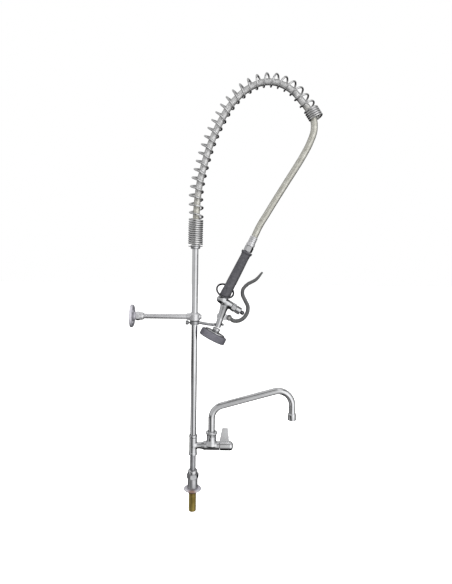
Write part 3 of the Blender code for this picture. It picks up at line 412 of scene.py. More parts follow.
def show(made, node, look=None):
    """Puts a finished piece in the frame: it rides on its node's body and stands for the node.

    Without a look of its own, it has the one named after its slot.
    """
    material = LOOKS[look or SLOTS[node]]
    made.data.materials.clear()
    made.data.materials.append(material)
    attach(made, BODIES[node])
    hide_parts(node)
    return made


def mesh_object(name, points, faces, sharp=40.0):
    mesh = bpy.data.meshes.new(name)
    mesh.from_pydata([tuple(p) for p in points], [], faces)
    bm = bmesh.new()
    bm.from_mesh(mesh)
    bmesh.ops.recalc_face_normals(bm, faces=bm.faces)
    bm.to_mesh(mesh)
    bm.free()
    mesh.shade_smooth()
    mesh.set_sharp_from_angle(angle=math.radians(sharp))
    made = bpy.data.objects.new(name, mesh)
    bpy.context.scene.collection.objects.link(made)
    return made


def clamped(value):
    return min(max(value, 0.0), 1.0)


def on_circle(angle, across=ALONG_X, up=ACROSS):
    """The unit vector at an angle from one direction towards another."""
    return across * math.cos(angle) + up * math.sin(angle)


def distances(points):
    """How far along a line each of its points is."""
    along = [0.0]
    for a, b in zip(points, points[1:]):
        along.append(along[-1] + (b - a).length)
    return along


def rounded(profile, fillet, steps=3):
    """The profile with its corners rounded.

    Points on the axis stay, and a third number is a corner's own radius.
    """
    closed = profile[0][0] > 1e-9
    made = []
    count = len(profile)
    for i, point in enumerate(profile):
        here = Vector(point[:2])
        radius = point[2] if len(point) > 2 else fillet
        if radius <= 0 or (not closed and i in (0, count - 1)):
            made.append(here)
            continue
        before, after = Vector(profile[i - 1][:2]), Vector(profile[(i + 1) % count][:2])
        a, b = before - here, after - here
        angle = a.angle(b, math.pi)
        if angle > math.radians(172):
            made.append(here)
            continue
        reach = min(radius / math.tan(angle / 2), 0.45 * a.length, 0.45 * b.length)
        start, end = here + a.normalized() * reach, here + b.normalized() * reach
        for step in range(steps + 1):
            t = step / steps
            made.append(start * (1 - t) ** 2 + here * (2 * t * (1 - t)) + end * t * t)
    return made


def straight_tube(inner, outer, low, high):
    """The profile of a plain tube, or of a bar where the inner radius is 0."""
    return (inner, low), (outer, low), (outer, high), (inner, high)


def grid_faces(rings, around, closed):
    """Quads between rings of equal count, numbered in order."""
    faces = []
    last = rings if closed else rings - 1
    for i in range(last):
        a, b = i * around, ((i + 1) % rings) * around
        for k in range(around):
            n = (k + 1) % around
            faces.append((a + k, a + n, b + n, b + k))
    return faces


def turned(
    name, profile, origin=Vector(), direction=UP, fillet=0.0004, segments=64,
    flats=None, bend=None, facet=0.0,
):
    """A turned piece with rounded corners.

    flats is (sides, half width, low, high) of a hexagon cut into it, and facet is the angle of one side.
    bend changes a point's radius: bend(radius, angle, height) gives the new one.
    """
    line = rounded(profile, fillet)
    if flats or bend:
        line = divided(line, 0.0005)
    on_axis = line[0].x <= 1e-9
    body = line[1:-1] if on_axis else line
    matrix = placed(origin, direction)
    points = []
    for point in body:
        for k in range(segments):
            angle = 2 * math.pi * k / segments
            radius = point.x
            if flats and flats[2] <= point.y <= flats[3] and radius > flats[1] * 0.9:
                half = math.pi / flats[0]
                radius = min(radius, flats[1] / math.cos((angle - facet + half) % (2 * half) - half))
            if bend:
                radius = bend(radius, angle, point.y)
            points.append(matrix @ Vector((radius * math.cos(angle), radius * math.sin(angle), point.y)))
    faces = grid_faces(len(body), segments, closed=not on_axis)
    if on_axis:
        for ring, tip in ((0, line[0]), (len(body) - 1, line[-1])):
            points.append(matrix @ Vector((0, 0, tip.y)))
            for k in range(segments):
                faces.append((ring * segments + k, ring * segments + (k + 1) % segments, len(points) - 1))
    return mesh_object(name, points, faces)


def divided(line, longest):
    """The profile with no edge longer than a length."""
    made = []
    for i, point in enumerate(line):
        after = line[(i + 1) % len(line)]
        made.append(point)
        if i == len(line) - 1 and line[0].x <= 1e-9:
            break
        count = min(int((after - point).length / longest), 400)
        for step in range(1, count + 1):
            made.append(point.lerp(after, step / (count + 1)))
    return made


def smoothed(points, count):
    """Evenly spaced points on a smooth curve through the given ones: a Hermite spline on chord length."""
    along = distances(points)
    slopes = []
    for i, point in enumerate(points):
        if i == 0:
            slopes.append((points[1] - point) / (along[1] - along[0]))
        elif i == len(points) - 1:
            slopes.append((point - points[-2]) / (along[-1] - along[-2]))
        else:
            before, after = along[i] - along[i - 1], along[i + 1] - along[i]
            first, second = (point - points[i - 1]) / before, (points[i + 1] - point) / after
            slopes.append((first * after + second * before) / (before + after))
    fine = []
    for i in range(len(points) - 1):
        span = along[i + 1] - along[i]
        for step in range(40):
            t = step / 40
            h00, h10 = 2 * t**3 - 3 * t**2 + 1, t**3 - 2 * t**2 + t
            h01, h11 = 3 * t**2 - 2 * t**3, t**3 - t**2
            ends = points[i] * h00 + points[i + 1] * h01
            fine.append(ends + slopes[i] * (span * h10) + slopes[i + 1] * (span * h11))
    fine.append(points[-1].copy())
    return evenly(fine, count)


def evenly(fine, count):
    """The same line as count points the same distance apart."""
    along = distances(fine)
    line, j = [], 0
    for i in range(count):
        at = along[-1] * i / (count - 1)
        while j < len(fine) - 2 and along[j + 1] < at:
            j += 1
        share = (at - along[j]) / max(along[j + 1] - along[j], 1e-12)
        line.append(fine[j].lerp(fine[j + 1], min(share, 1.0)))
    return line


def tangents(points):
    last = len(points) - 1
    return [(points[min(i + 1, last)] - points[max(i - 1, 0)]).normalized() for i in range(len(points))]


def frames(points, first_side):
    """A side direction at each point, carried along the line without twist."""
    directions = tangents(points)
    side = (first_side - directions[0] * first_side.dot(directions[0])).normalized()
    sides = [side]
    for before, after in zip(directions, directions[1:]):
        side = before.rotation_difference(after) @ side
        side = (side - after * side.dot(after)).normalized()
        sides.append(side)
    return directions, sides


def swept(name, points, sizes, first_side=ACROSS, segments=32, bore=0.0, caps=2):
    """A bar or tube along a line. sizes gives each point's half widths along the side and across it."""
    directions, sides = frames(points, first_side)
    rows = []
    for i, (wide, deep) in enumerate(sizes):
        rows.append((points[i], sides[i], directions[i].cross(sides[i]), wide, deep))
    if not bore:
        for end, sign in ((0, -1), (-1, 1)):
            origin, side, across, wide, deep = rows[end]
            extra = []
            for step in range(1, caps + 1):
                angle = math.pi / 2 * step / (caps + 0.3)
                reach = min(wide, deep) * 0.5 * math.sin(angle) * sign
                shrink = 1 - 0.5 * (1 - math.cos(angle))
                shift = directions[end] * reach
                extra.append((origin + shift, side, across, wide * shrink, deep * shrink))
            rows = extra[::-1] + rows if end == 0 else rows + extra
    made = []
    layers = [1.0] if not bore else [1.0, None]
    for layer in layers:
        chain = rows if layer else rows[::-1]
        for origin, side, across, wide, deep in chain:
            if layer is None:
                wide = deep = bore
            for k in range(segments):
                angle = 2 * math.pi * k / segments
                made.append(origin + side * (wide * math.cos(angle)) + across * (deep * math.sin(angle)))
    total = len(rows) * len(layers)
    faces = grid_faces(total, segments, closed=bool(bore))
    if not bore:
        faces.append(tuple(range(segments)))
        faces.append(tuple(range((total - 1) * segments, total * segments)))
    return mesh_object(name, made, faces)


# ---------------------------------------------------------------- distance fields, for castings
class Field:
    """Signed distances on a grid, in metres, joined and cut with rounded edges and then meshed."""

    def __init__(self, low, high, step):
        self.low, self.step = np.array(low, float), step
        counts = np.ceil((np.array(high, float) - self.low) / step).astype(int) + 1
        axes = [self.low[i] + np.arange(counts[i]) * step for i in range(3)]
        self.points = np.stack(np.meshgrid(*axes, indexing="ij"), axis=-1).astype(np.float32)
        self.values = np.full(self.points.shape[:3], 1.0, np.float32)

    def add(self, shape, blend=0.0):
        self.values = soft_min(self.values, shape, blend)

    def cut(self, shape, blend=0.0):
        self.values = -soft_min(-self.values, shape, blend)

    def bore(self, radius, low, high, origin=Vector(), direction=UP):
        self.cut(self.cylinder(radius, low, high, origin, direction))

    def local(self, origin, direction):
        """(distance from an axis, height along it) of each grid point."""
        offset = self.points - np.array(origin, np.float32)
        height = offset @ np.array(direction, np.float32)
        across = np.sqrt(np.maximum((offset * offset).sum(-1) - height * height, 0))
        return across, height

    def lathe(self, profile, origin=Vector(), direction=UP):
        """The distance to a turned solid. Its half outline runs from the axis, out, and back to it."""
        across, height = self.local(origin, direction)
        inside = np.zeros(across.shape, bool)
        best = np.full(across.shape, 1.0, np.float32)
        outline = [p[:2] for p in profile]
        outline = [(-outline[0][0], outline[0][1])] + outline if outline[0][0] > 0 else outline
        mirrored = [(-r, h) for r, h in outline[::-1] if r > 0]
        loop = outline + mirrored
        for (r0, h0), (r1, h1) in zip(loop, loop[1:] + loop[:1]):
            er, eh = r1 - r0, h1 - h0
            length = er * er + eh * eh
            if length < 1e-16:
                continue
            t = np.clip(((across - r0) * er + (height - h0) * eh) / length, 0, 1)
            best = np.minimum(best, np.hypot(across - r0 - er * t, height - h0 - eh * t))
            crosses = (h0 > height) != (h1 > height)
            with np.errstate(divide="ignore", invalid="ignore"):
                at = r0 + er * (height - h0) / (eh if eh else 1e-12)
            inside ^= crosses & (across < at)
        return np.where(inside, -best, best)

    def cylinder(self, radius, low, high, origin=Vector(), direction=UP):
        across, height = self.local(origin, direction)
        return crossed(across - radius, np.maximum(low - height, height - high))

    def block(self, half, matrix, corner=0.0):
        """A box with rounded corners, its half sizes along the matrix's own axes."""
        inverse = np.array(matrix.inverted(), np.float32)
        local = self.points @ inverse[:3, :3].T + inverse[:3, 3]
        q = np.abs(local) - (np.array(half, np.float32) - corner)
        return np.linalg.norm(np.maximum(q, 0), axis=-1) + np.minimum(q.max(-1), 0) - corner

    def capsules(self, line, radii):
        """A round bar along a line, its radius changing from point to point."""
        best = np.full(self.values.shape, 1.0, np.float32)
        for a, b, ra, rb in zip(line, line[1:], radii, radii[1:]):
            start, span = np.array(a, np.float32), np.array(b - a, np.float32)
            offset = self.points - start
            t = np.clip(offset @ span / float(span @ span), 0, 1)
            away = np.linalg.norm(offset - t[..., None] * span, axis=-1)
            best = np.minimum(best, away - (ra + (rb - ra) * t))
        return best

    def object(self, name):
        grid = openvdb.FloatGrid(float(self.step * 3))
        grid.copyFromArray(np.clip(self.values, -3 * self.step, 3 * self.step).astype(np.float32))
        points, quads = grid.convertToQuads(0.0)
        faces = [tuple(quad[::-1]) for quad in quads.tolist()]
        return mesh_object(name, points * self.step + self.low, faces, 70)


def crossed(a, b):
    """The distance to what two solids have in common, where their surfaces are square to each other."""
    return np.minimum(np.maximum(a, b), 0) + np.hypot(np.maximum(a, 0), np.maximum(b, 0))


def soft_min(a, b, blend):
    """The smaller of two distances, rounded where they are within a blend of each other."""
    if blend <= 0:
        return np.minimum(a, b)
    h = np.clip(0.5 + 0.5 * (b - a) / blend, 0, 1)
    return b * (1 - h) + a * h - blend * h * (1 - h)


# ---------------------------------------------------------------- the hose, and the spring round it
def ribbed_tube(name, line, radius, pitch, depth, bore, segments=36):
    """A flexible metal hose: its wound strip stands up as rounded ribs a pitch apart."""
    per_rib = 5
    count = int(distances(line)[-1] / pitch) * per_rib + 1
    path = evenly(line, count)
    sizes = []
    for i in range(count):
        wave = abs(math.sin(math.pi * i / per_rib))
        reach = radius - depth * (1 - wave**0.6)
        sizes.append((reach, reach))
    return path, swept(name, path, sizes, ALONG_X, segments, bore=bore)


def spring_centreline(count):
    """The spring's centreline, which stands off the hose on the outside of the arc."""
    hose = smoothed(list(HOSE_ROUTE), 400)
    hose = [Vector((0, 0, SPRING_BOTTOM + GAP + SPRING_WIRE_R))] + hose
    end = next(i for i, point in enumerate(hose) if point.x > FALLING_X and point.z < SPRING_END_Z)
    line = []
    for point, direction in zip(hose[:end], tangents(hose)[:end]):
        outward = Vector((point.x - ARC_FOCUS.x, 0, point.z - ARC_FOCUS.z)).normalized()
        outward = (outward - direction * outward.dot(direction)).normalized()
        rise = clamped((point.z - OFFSET_FROM_Z) / 0.060) if point.x < 0.1 else 1.0
        line.append(point + outward * (SPRING_OFFSET * rise * rise * (3 - 2 * rise)))
    line = evenly(line, count)
    step = (line[1] - line[0]).length
    # the last coils carry on nearly straight, where the hose curves away
    start = count - int(0.030 / step)
    heading = (line[start + 4] - line[start]).normalized()
    for i in range(start, count):
        straight = line[start] + heading * ((i - start) * step)
        line[i] = line[i].lerp(straight, 0.90)
    return evenly(line, count)


def overhead_turn_rate(s, length):
    """Turns per metre: close at the foot and the far end, open between."""
    close, wide = 1 / TIGHT_PITCH, 1 / OPEN_PITCH
    blend = 0.008
    foot = clamped((TIGHT_FOOT + blend - s) / blend)
    end = clamped((s - (length - TIGHT_END - blend)) / blend)
    return wide + (close - wide) * max(foot, end)


def coil(name, line, mean_radius, wire_radius, turn_rate, per_turn, segments, first_side=ALONG_X):
    """A round wire wound about a line. turn_rate(s, length) is its turns per metre at a distance s."""
    directions, sides = frames(line, first_side)
    step = (line[1] - line[0]).length
    length = step * (len(line) - 1)
    turns, total = [0.0], 0.0
    for i in range(1, len(line)):
        total += turn_rate((i - 0.5) * step, length) * step
        turns.append(total)
    count = math.ceil(total * per_turn) + 1
    wire, j = [], 0
    for i in range(count):
        at = total * i / (count - 1)
        while j < len(turns) - 2 and turns[j + 1] < at:
            j += 1
        share = (at - turns[j]) / (turns[j + 1] - turns[j])
        side = sides[j].lerp(sides[j + 1], share).normalized()
        across = directions[j].lerp(directions[j + 1], share).normalized().cross(side)
        angle = 2 * math.pi * at
        centre = line[j].lerp(line[j + 1], share)
        wire.append(centre + (side * math.cos(angle) - across * math.sin(angle)) * mean_radius)
    return swept(name, wire, [(wire_radius, wire_radius)] * len(wire), UP, segments)


def make_hose_fittings():
    nut = (
        (0.0050, SPRING_BOTTOM + GAP), (0.0106, SPRING_BOTTOM + GAP), (0.0127, SPRING_BOTTOM + 0.0020),
        (0.0127, 0.7095), (0.0106, 0.7115), (0.0050, 0.7115),
    )
    show(turned("hose_nut", nut, flats=(6, 0.0110, 0, 1), segments=96), "hose_lower_nut")
    ferrule = straight_tube(0.0050, 0.0108, 0.7118, HOSE_FOOT - 2 * GAP)
    made = turned("hose_foot_ferrule", ferrule, fillet=0.0014, bend=crimped(0.7150, 0.7330))
    show(made, "hose_lower_ferrule")
    low = GRIP_LENGTH + GAP
    end_nut = (
        (0.0050, low), (0.0106, low), (0.0129, low + 0.0022), (0.0129, low + 0.0148),
        (0.0106, low + 0.0170), (0.0050, low + 0.0170),
    )
    made = turned("hose_swivel_nut", end_nut, GRIP_FOOT, GRIP_AXIS, segments=96, flats=(6, 0.0112, 0, 1))
    show(made, "hose_end_nut")
    end_ferrule = (
        (0.0050, low + 0.0173), (0.0124, low + 0.0173), (0.0124, low + 0.0236), (0.0113, low + 0.0256),
        (0.0110, 0.1872), (0.0100, 0.1882), (0.0050, 0.1882),
    )
    rings = crimped(low + 0.0275, 0.1855)
    made = turned("hose_grip_ferrule", end_ferrule, GRIP_FOOT, GRIP_AXIS, fillet=0.0008, bend=rings)
    show(made, "hose_end_ferrule", "pale")


def crimped(low, high):
    """Three shallow rings pressed into a ferrule between two heights."""

    def bend(radius, angle, height):
        if radius < 0.0095 or not low < height < high:
            return radius
        share = (height - low) / (high - low)
        return radius - 0.00055 * math.sin(3 * math.pi * share) ** 2

    return bend


def make_hose_and_spring():
    route = smoothed(list(HOSE_ROUTE), 900)
    path, hose = ribbed_tube("hose_tube", route, HOSE_R, 0.0032, 0.00042, 0.0060)
    show(hose, "hose", "hose")
    line = spring_centreline(900)
    spring = coil("spring_coil", line, SPRING_MEAN_R, SPRING_WIRE_R + 0.0001, overhead_turn_rate, 28, 12)
    show(spring, "overhead_spring", "spring")
    for bent in (hose, spring):
        bent.parent = None
        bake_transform(bent)


make_hose_fittings()
make_hose_and_spring()


# ---------------------------------------------------------------- base
def thread(low, high, pitch, depth, outer):
    """Cuts a right-hand screw thread into the outside between two heights, running out at both ends."""

    def bend(radius, angle, height):
        if radius < outer * 0.86:
            return radius
        fade = clamped((height - low) / pitch) * clamped((high - height) / pitch)
        phase = (height / pitch - angle / (2 * math.pi)) % 1.0
        ridge = min(1.0, 2.6 * abs(phase - 0.5))
        return radius - depth * (1 - ridge) * fade

    return bend


def make_base():
    shank = (
        (SHANK_BORE_R, SHANK_BOTTOM), (SHANK_R - 0.0014, SHANK_BOTTOM), (SHANK_R, SHANK_BOTTOM + 0.0014),
        (SHANK_R, 0.0160), (SHANK_BORE_R, 0.0160),
    )
    cut = thread(SHANK_BOTTOM + 0.0005, -0.0040, 0.00181, 0.0010, SHANK_R)
    made = turned("supply_thread", shank, fillet=0.0002, bend=cut, segments=48)
    show(made, "supply_shank")
    gasket = straight_tube(SHANK_R + GAP, FLANGE_R - 0.0020, 0, 0.0014)
    show(turned("gasket", gasket, fillet=0.0003), "deck_gasket")
    flange = (
        (SHANK_R + GAP, 0.0017), (FLANGE_R, 0.0017, 0.0004), (FLANGE_R, 0.0044, 0.0016),
        (FLANGE_R - 0.0030, 0.0060, 0.0030), (BODY_R + 0.0030, FLANGE_TOP, 0.0010),
        (SHANK_R + GAP, FLANGE_TOP),
    )
    show(turned("deck_flange", flange, segments=96), "base_flange", "satin")
    body = (
        (SHANK_R + GAP, FLANGE_TOP + GAP), (BODY_R + 0.0006, FLANGE_TOP + GAP), (BODY_R + 0.0006, 0.0098),
        (BODY_R, 0.0108), (BODY_R, BODY_TOP - 0.0002, 0.0012), (NIPPLE_R + GAP, BODY_TOP - 0.0002),
        (NIPPLE_R + GAP, 0.0190), (SHANK_BORE_R, 0.0190), (SHANK_BORE_R, 0.0163), (SHANK_R + GAP, 0.0163),
    )
    show(turned("base_barrel", body, segments=80), "base_body", "worn")
    union = (
        (NIPPLE_R + GAP, BODY_TOP + GAP), (UNION_FLATS_R - 0.0002, BODY_TOP + GAP),
        (UNION_FLATS_R * 1.15, BODY_TOP + 0.0024), (UNION_FLATS_R * 1.15, UNION_TOP - 0.0024),
        (UNION_FLATS_R - 0.0002, UNION_TOP), (NIPPLE_R + GAP, UNION_TOP),
    )
    six = (6, UNION_FLATS_R, 0, 1)
    made = turned("union_nut", union, flats=six, segments=120, facet=math.radians(282))
    show(made, "base_union_nut", "worn")
    collar = (
        (NIPPLE_R + GAP, UNION_TOP + GAP), (COLLAR_R, UNION_TOP + GAP),
        (COLLAR_R, COLLAR_TOP - 0.0036, 0.0020), (COLLAR_R - 0.0026, COLLAR_TOP, 0.0008),
        (NIPPLE_R + GAP, COLLAR_TOP),
    )
    show(turned("nipple_collar", collar), "base_collar")
    nipple = straight_tube(PIPE_BORE_R, NIPPLE_R, 0.0193, TEE_BOTTOM + 0.0120)
    show(turned("nipple_tube", nipple), "lower_nipple", "worn")


# ---------------------------------------------------------------- add-on faucet
def make_faucet():
    """The add-on faucet's casting on the riser, and its blade handle."""
    axis = Vector((0, 0, BARREL_Z))
    field = Field((-0.0150, -0.0190, TEE_BOTTOM - 0.003), (0.0790, 0.0190, TEE_TOP + 0.003), 0.0005)
    band = TEE_R + 0.0006
    field.add(field.lathe((
        (0, TEE_BOTTOM), (band - 0.0004, TEE_BOTTOM), (band, TEE_BOTTOM + 0.0006),
        (band, TEE_BOTTOM + 0.0062), (TEE_R, TEE_BOTTOM + 0.0072), (TEE_R, TEE_TOP - 0.0072),
        (band, TEE_TOP - 0.0062), (band, TEE_TOP - 0.0006), (band - 0.0004, TEE_TOP), (0, TEE_TOP),
    )))
    barrel = field.lathe((
        (0, 0.0010), (0.0092, 0.0010), (0.0088, 0.0160), (0.0092, BARREL_START - 0.0060),
        (BARREL_R - 0.0006, BARREL_START + 0.0010), (BARREL_R, BARREL_START + 0.0030),
        (BARREL_R, BARREL_END - 0.0006), (BARREL_R - 0.0006, BARREL_END), (0, BARREL_END),
    ), axis, ALONG_X)
    field.add(barrel, 0.0030)
    foot = Vector((SWIVEL_X, 0, 0))
    boss = field.lathe((
        (0, BARREL_Z - 0.0050), (0.0165, BARREL_Z + 0.0020), (0.0150, BARREL_Z + 0.0100),
        (0.0136, BARREL_Z + 0.0160), (0.0134, BOSS_TOP), (0, BOSS_TOP),
    ), foot)
    field.add(boss, 0.0030)
    field.bore(NIPPLE_R + GAP, TEE_BOTTOM - 0.01, TEE_BOTTOM + 0.0123)
    field.bore(PIPE_R + GAP, TEE_TOP - 0.0160, TEE_TOP + 0.01)
    field.bore(PIPE_BORE_R - 0.0005, TEE_BOTTOM, TEE_TOP)
    field.bore(0.0050, 0.0, 0.0400, axis, ALONG_X)
    field.bore(0.0089, 0.0370, BARREL_END + 0.01, axis, ALONG_X)
    field.bore(0.0115, 0.1385, BOSS_TOP + 0.01, foot)
    field.bore(0.0045, 0.1300, 0.1400, foot)
    show(field.object("faucet_casting"), "faucet_body", "cast")

    field = Field((0.0720, -0.0150, 0.1105), (0.1160, 0.0150, 0.1785), 0.0004)
    hub = field.lathe((
        (0, BARREL_END + 0.0008), (HUB_R - 0.0006, BARREL_END + 0.0008), (HUB_R, BARREL_END + 0.0014),
        (HUB_R, HUB_END - 0.0080), (HUB_R - 0.0006, HUB_END - 0.0052), (HUB_R - 0.0020, HUB_END - 0.0026),
        (HUB_R - 0.0040, HUB_END - 0.0008), (HUB_R - 0.0060, HUB_END - 0.0001), (0, HUB_END),
    ), axis, ALONG_X)
    field.add(hub)
    low, high = BARREL_Z + 0.0085, BLADE_TOP
    centre = (low + high) / 2
    x, z = field.points[..., 0], field.points[..., 2]
    share = np.clip((z - (BARREL_Z + 0.0150)) / (BLADE_TOP - BARREL_Z - 0.0150), 0, 1)
    half_width = 0.0135 + (0.0083 - 0.0135) * share
    middle = 0.0890 + 0.0015 * share
    corner, edge = 0.0022, 0.0010
    along = np.abs(x - middle) - (half_width - corner)
    upright = np.abs(z - centre) - ((high - low) / 2 - corner)
    flat = crossed(along, upright) - corner
    thick = np.abs(field.points[..., 1]) - (0.0029 - 0.0012 * share * share)
    blade = crossed(flat + edge, thick + edge) - edge
    field.add(blade, 0.0040)
    field.bore(0.0112, 0.0700, 0.0900, axis, ALONG_X)
    field.bore(BARREL_R + 2 * GAP, 0.0600, BARREL_END + 2 * GAP, axis, ALONG_X)
    field.bore(0.0042, 0.0880, 0.1080, axis, ALONG_X)
    field.bore(0.0058, HUB_END - 0.0060, HUB_END + 0.01, axis, ALONG_X)
    show(field.object("handle_casting"), "faucet_handle", "cast")
    button = ((0, 0.1096), (0.0055, 0.1096), (0.0055, 0.1132), (0.0040, 0.1144), (0, 0.1148))
    show(turned("handle_button", button, axis, ALONG_X), "index_button")


def spout_line():
    """The spout's centreline: up, a bend, the rising run, the second bend and down to the outlet."""
    line = [Vector((SWIVEL_X, 0, SPOUT_FOOT)), Vector((SWIVEL_X, 0, SPOUT_BEND_START))]
    centre = Vector((SWIVEL_X + SPOUT_BEND_1, 0, SPOUT_BEND_START))
    steps = 24
    for i in range(1, steps + 1):
        angle = math.pi - (math.pi / 2 - SPOUT_RISE) * i / steps
        line.append(centre + on_circle(angle, up=UP) * SPOUT_BEND_1)
    line.append(line[-1] + on_circle(SPOUT_RISE, up=UP) * SPOUT_STRAIGHT)
    centre = line[-1] + Vector((math.sin(SPOUT_RISE), 0, -math.cos(SPOUT_RISE))) * SPOUT_BEND_2
    steps = 32
    for i in range(1, steps + 1):
        angle = (math.pi / 2 + SPOUT_RISE) * (1 - i / steps)
        line.append(centre + on_circle(angle, up=UP) * SPOUT_BEND_2)
    line.append(line[-1] - UP * SPOUT_DROP)
    return line


def make_spout():
    foot = Vector((SWIVEL_X, 0, 0))
    nut = (
        (SPOUT_R + 2 * GAP, BOSS_TOP + GAP), (0.0134, BOSS_TOP + GAP), (0.0136, 0.1555, 0.0010),
        (0.0164, 0.1612, 0.0014), (0.0164, 0.1642, 0.0008), (0.0130, NUT_TOP, 0.0008),
        (SPOUT_R + 2 * GAP, NUT_TOP),
    )

    def knurl(radius, angle, height):
        if radius < 0.0158 or not 0.1600 < height < 0.1650:
            return radius
        return radius - 0.0004 * (1 - abs(math.sin(12 * angle))) ** 2

    show(turned("swivel_nut", nut, foot, segments=192, bend=knurl), "spout_nut")
    line = spout_line()
    tube = swept("spout_pipe", line, [(SPOUT_R, SPOUT_R)] * len(line), segments=48, bore=SPOUT_BORE_R)
    show(tube, "spout_tube", "tube")
    end = line[-1]
    tip = (
        (OUTLET_R - 0.0004, -OUTLET_LENGTH + 0.0100), (OUTLET_R, -OUTLET_LENGTH + 0.0108),
        (OUTLET_R, 0.0060, 0.0010), (OUTLET_R - 0.0014, 0.0100, 0.0010), (SPOUT_R + GAP, 0.0100),
        (SPOUT_R + GAP, -GAP), (0.0086, -GAP), (0.0086, -OUTLET_LENGTH + 0.0100),
    )
    show(turned("outlet_tip", tip, end), "spout_outlet")


# ---------------------------------------------------------------- riser, wall bracket and hook
def make_riser_and_bracket():
    riser = straight_tube(PIPE_BORE_R, PIPE_R, TEE_TOP - 0.0157, RISER_TOP)
    show(turned("riser_tube", riser), "riser_pipe", "tube")
    height = Vector((0, 0, ARM_Z))
    half = BRACKET_COLLAR_HALF
    room = half + 0.003
    field = Field((-0.0250, -0.0175, ARM_Z - room), (0.0220, 0.0175, ARM_Z + room), 0.0004)
    field.add(field.lathe((
        (0, -half), (BRACKET_COLLAR_R - 0.0012, -half), (BRACKET_COLLAR_R, -half + 0.0012),
        (BRACKET_COLLAR_R, half - 0.0030), (BRACKET_COLLAR_R - 0.0030, half), (0, half),
    ), height))
    field.add(field.cylinder(0.0093, -0.0225, -0.0040, height, ALONG_X), 0.0022)
    field.add(field.cylinder(0.0068, 0.0040, 0.0196, height, ALONG_X), 0.0022)
    field.bore(PIPE_R + GAP, -0.02, 0.02, height)
    field.bore(ARM_R + GAP, -0.03, -0.0110, height, ALONG_X)
    field.bore(0.0035, 0.0050, 0.03, height, ALONG_X)
    show(field.object("bracket_casting"), "bracket_collar", "pale")
    screw = straight_tube(0, 0.0032, PIPE_R + GAP, 0.0188)
    show(turned("collar_screw", screw, height, ALONG_X), "bracket_set_screw")
    arm = straight_tube(0.0050, ARM_R, -0.1715, -0.0113)
    show(turned("arm_tube", arm, height, ALONG_X), "bracket_arm", "pale")
    nut = (
        (ARM_R + GAP, -0.1662), (0.0111, -0.1662), (0.0128, -0.1648), (0.0128, -0.1570),
        (0.0112, -0.1556), (0.0104, -0.1480, 0.0010), (0.0092, -0.1440, 0.0008), (ARM_R + GAP, -0.1440),
    )
    made = turned("arm_nut", nut, height, ALONG_X, flats=(6, 0.0112, -0.1663, -0.1555), segments=96)
    show(made, "bracket_coupling_nut", "pale")
    flange = (
        (0, WALL_X), (WALL_FLANGE_R, WALL_X), (WALL_FLANGE_R, WALL_X + 0.0060, 0.0030),
        (WALL_FLANGE_R - 0.0030, WALL_X + 0.0078, 0.0030), (0.0160, WALL_X + 0.0092, 0.0030),
        (0.0112, WALL_X + 0.0104, 0.0016), (0.0106, -0.1665), (ARM_R + GAP, -0.1665),
        (ARM_R + GAP, -0.1718), (0, -0.1718),
    )
    plate = turned("wall_plate", flange, height, ALONG_X, segments=120)
    countersunk = (
        (0, WALL_X - 0.01), (0.0029, WALL_X - 0.01), (0.0029, WALL_X + 0.0062), (0.0052, WALL_X + 0.0094),
        (0.0052, 0), (0, 0),
    )
    holes = []
    for i in range(4):
        at = height + on_circle(math.radians(45 + 90 * i), ACROSS, UP) * SCREW_CIRCLE_R
        holes.append(turned(f"hole_{i}", countersunk, at, ALONG_X, fillet=0, segments=32))
    show(drilled(plate, holes), "wall_flange", "satin")


def drilled(target, others):
    """Cuts other objects out of a target with exact Booleans, and removes them."""
    for other in others:
        modifier = target.modifiers.new(other.name, "BOOLEAN")
        modifier.operation = "DIFFERENCE"
        modifier.solver = "EXACT"
        modifier.object = other
    bpy.context.view_layer.update()
    shaped = target.evaluated_get(bpy.context.evaluated_depsgraph_get())
    mesh = bpy.data.meshes.new_from_object(shaped)
    target.modifiers.clear()
    target.data = mesh
    mesh.shade_smooth()
    mesh.set_sharp_from_angle(angle=math.radians(40))
    for other in others:
        bpy.data.objects.remove(other)
    return target


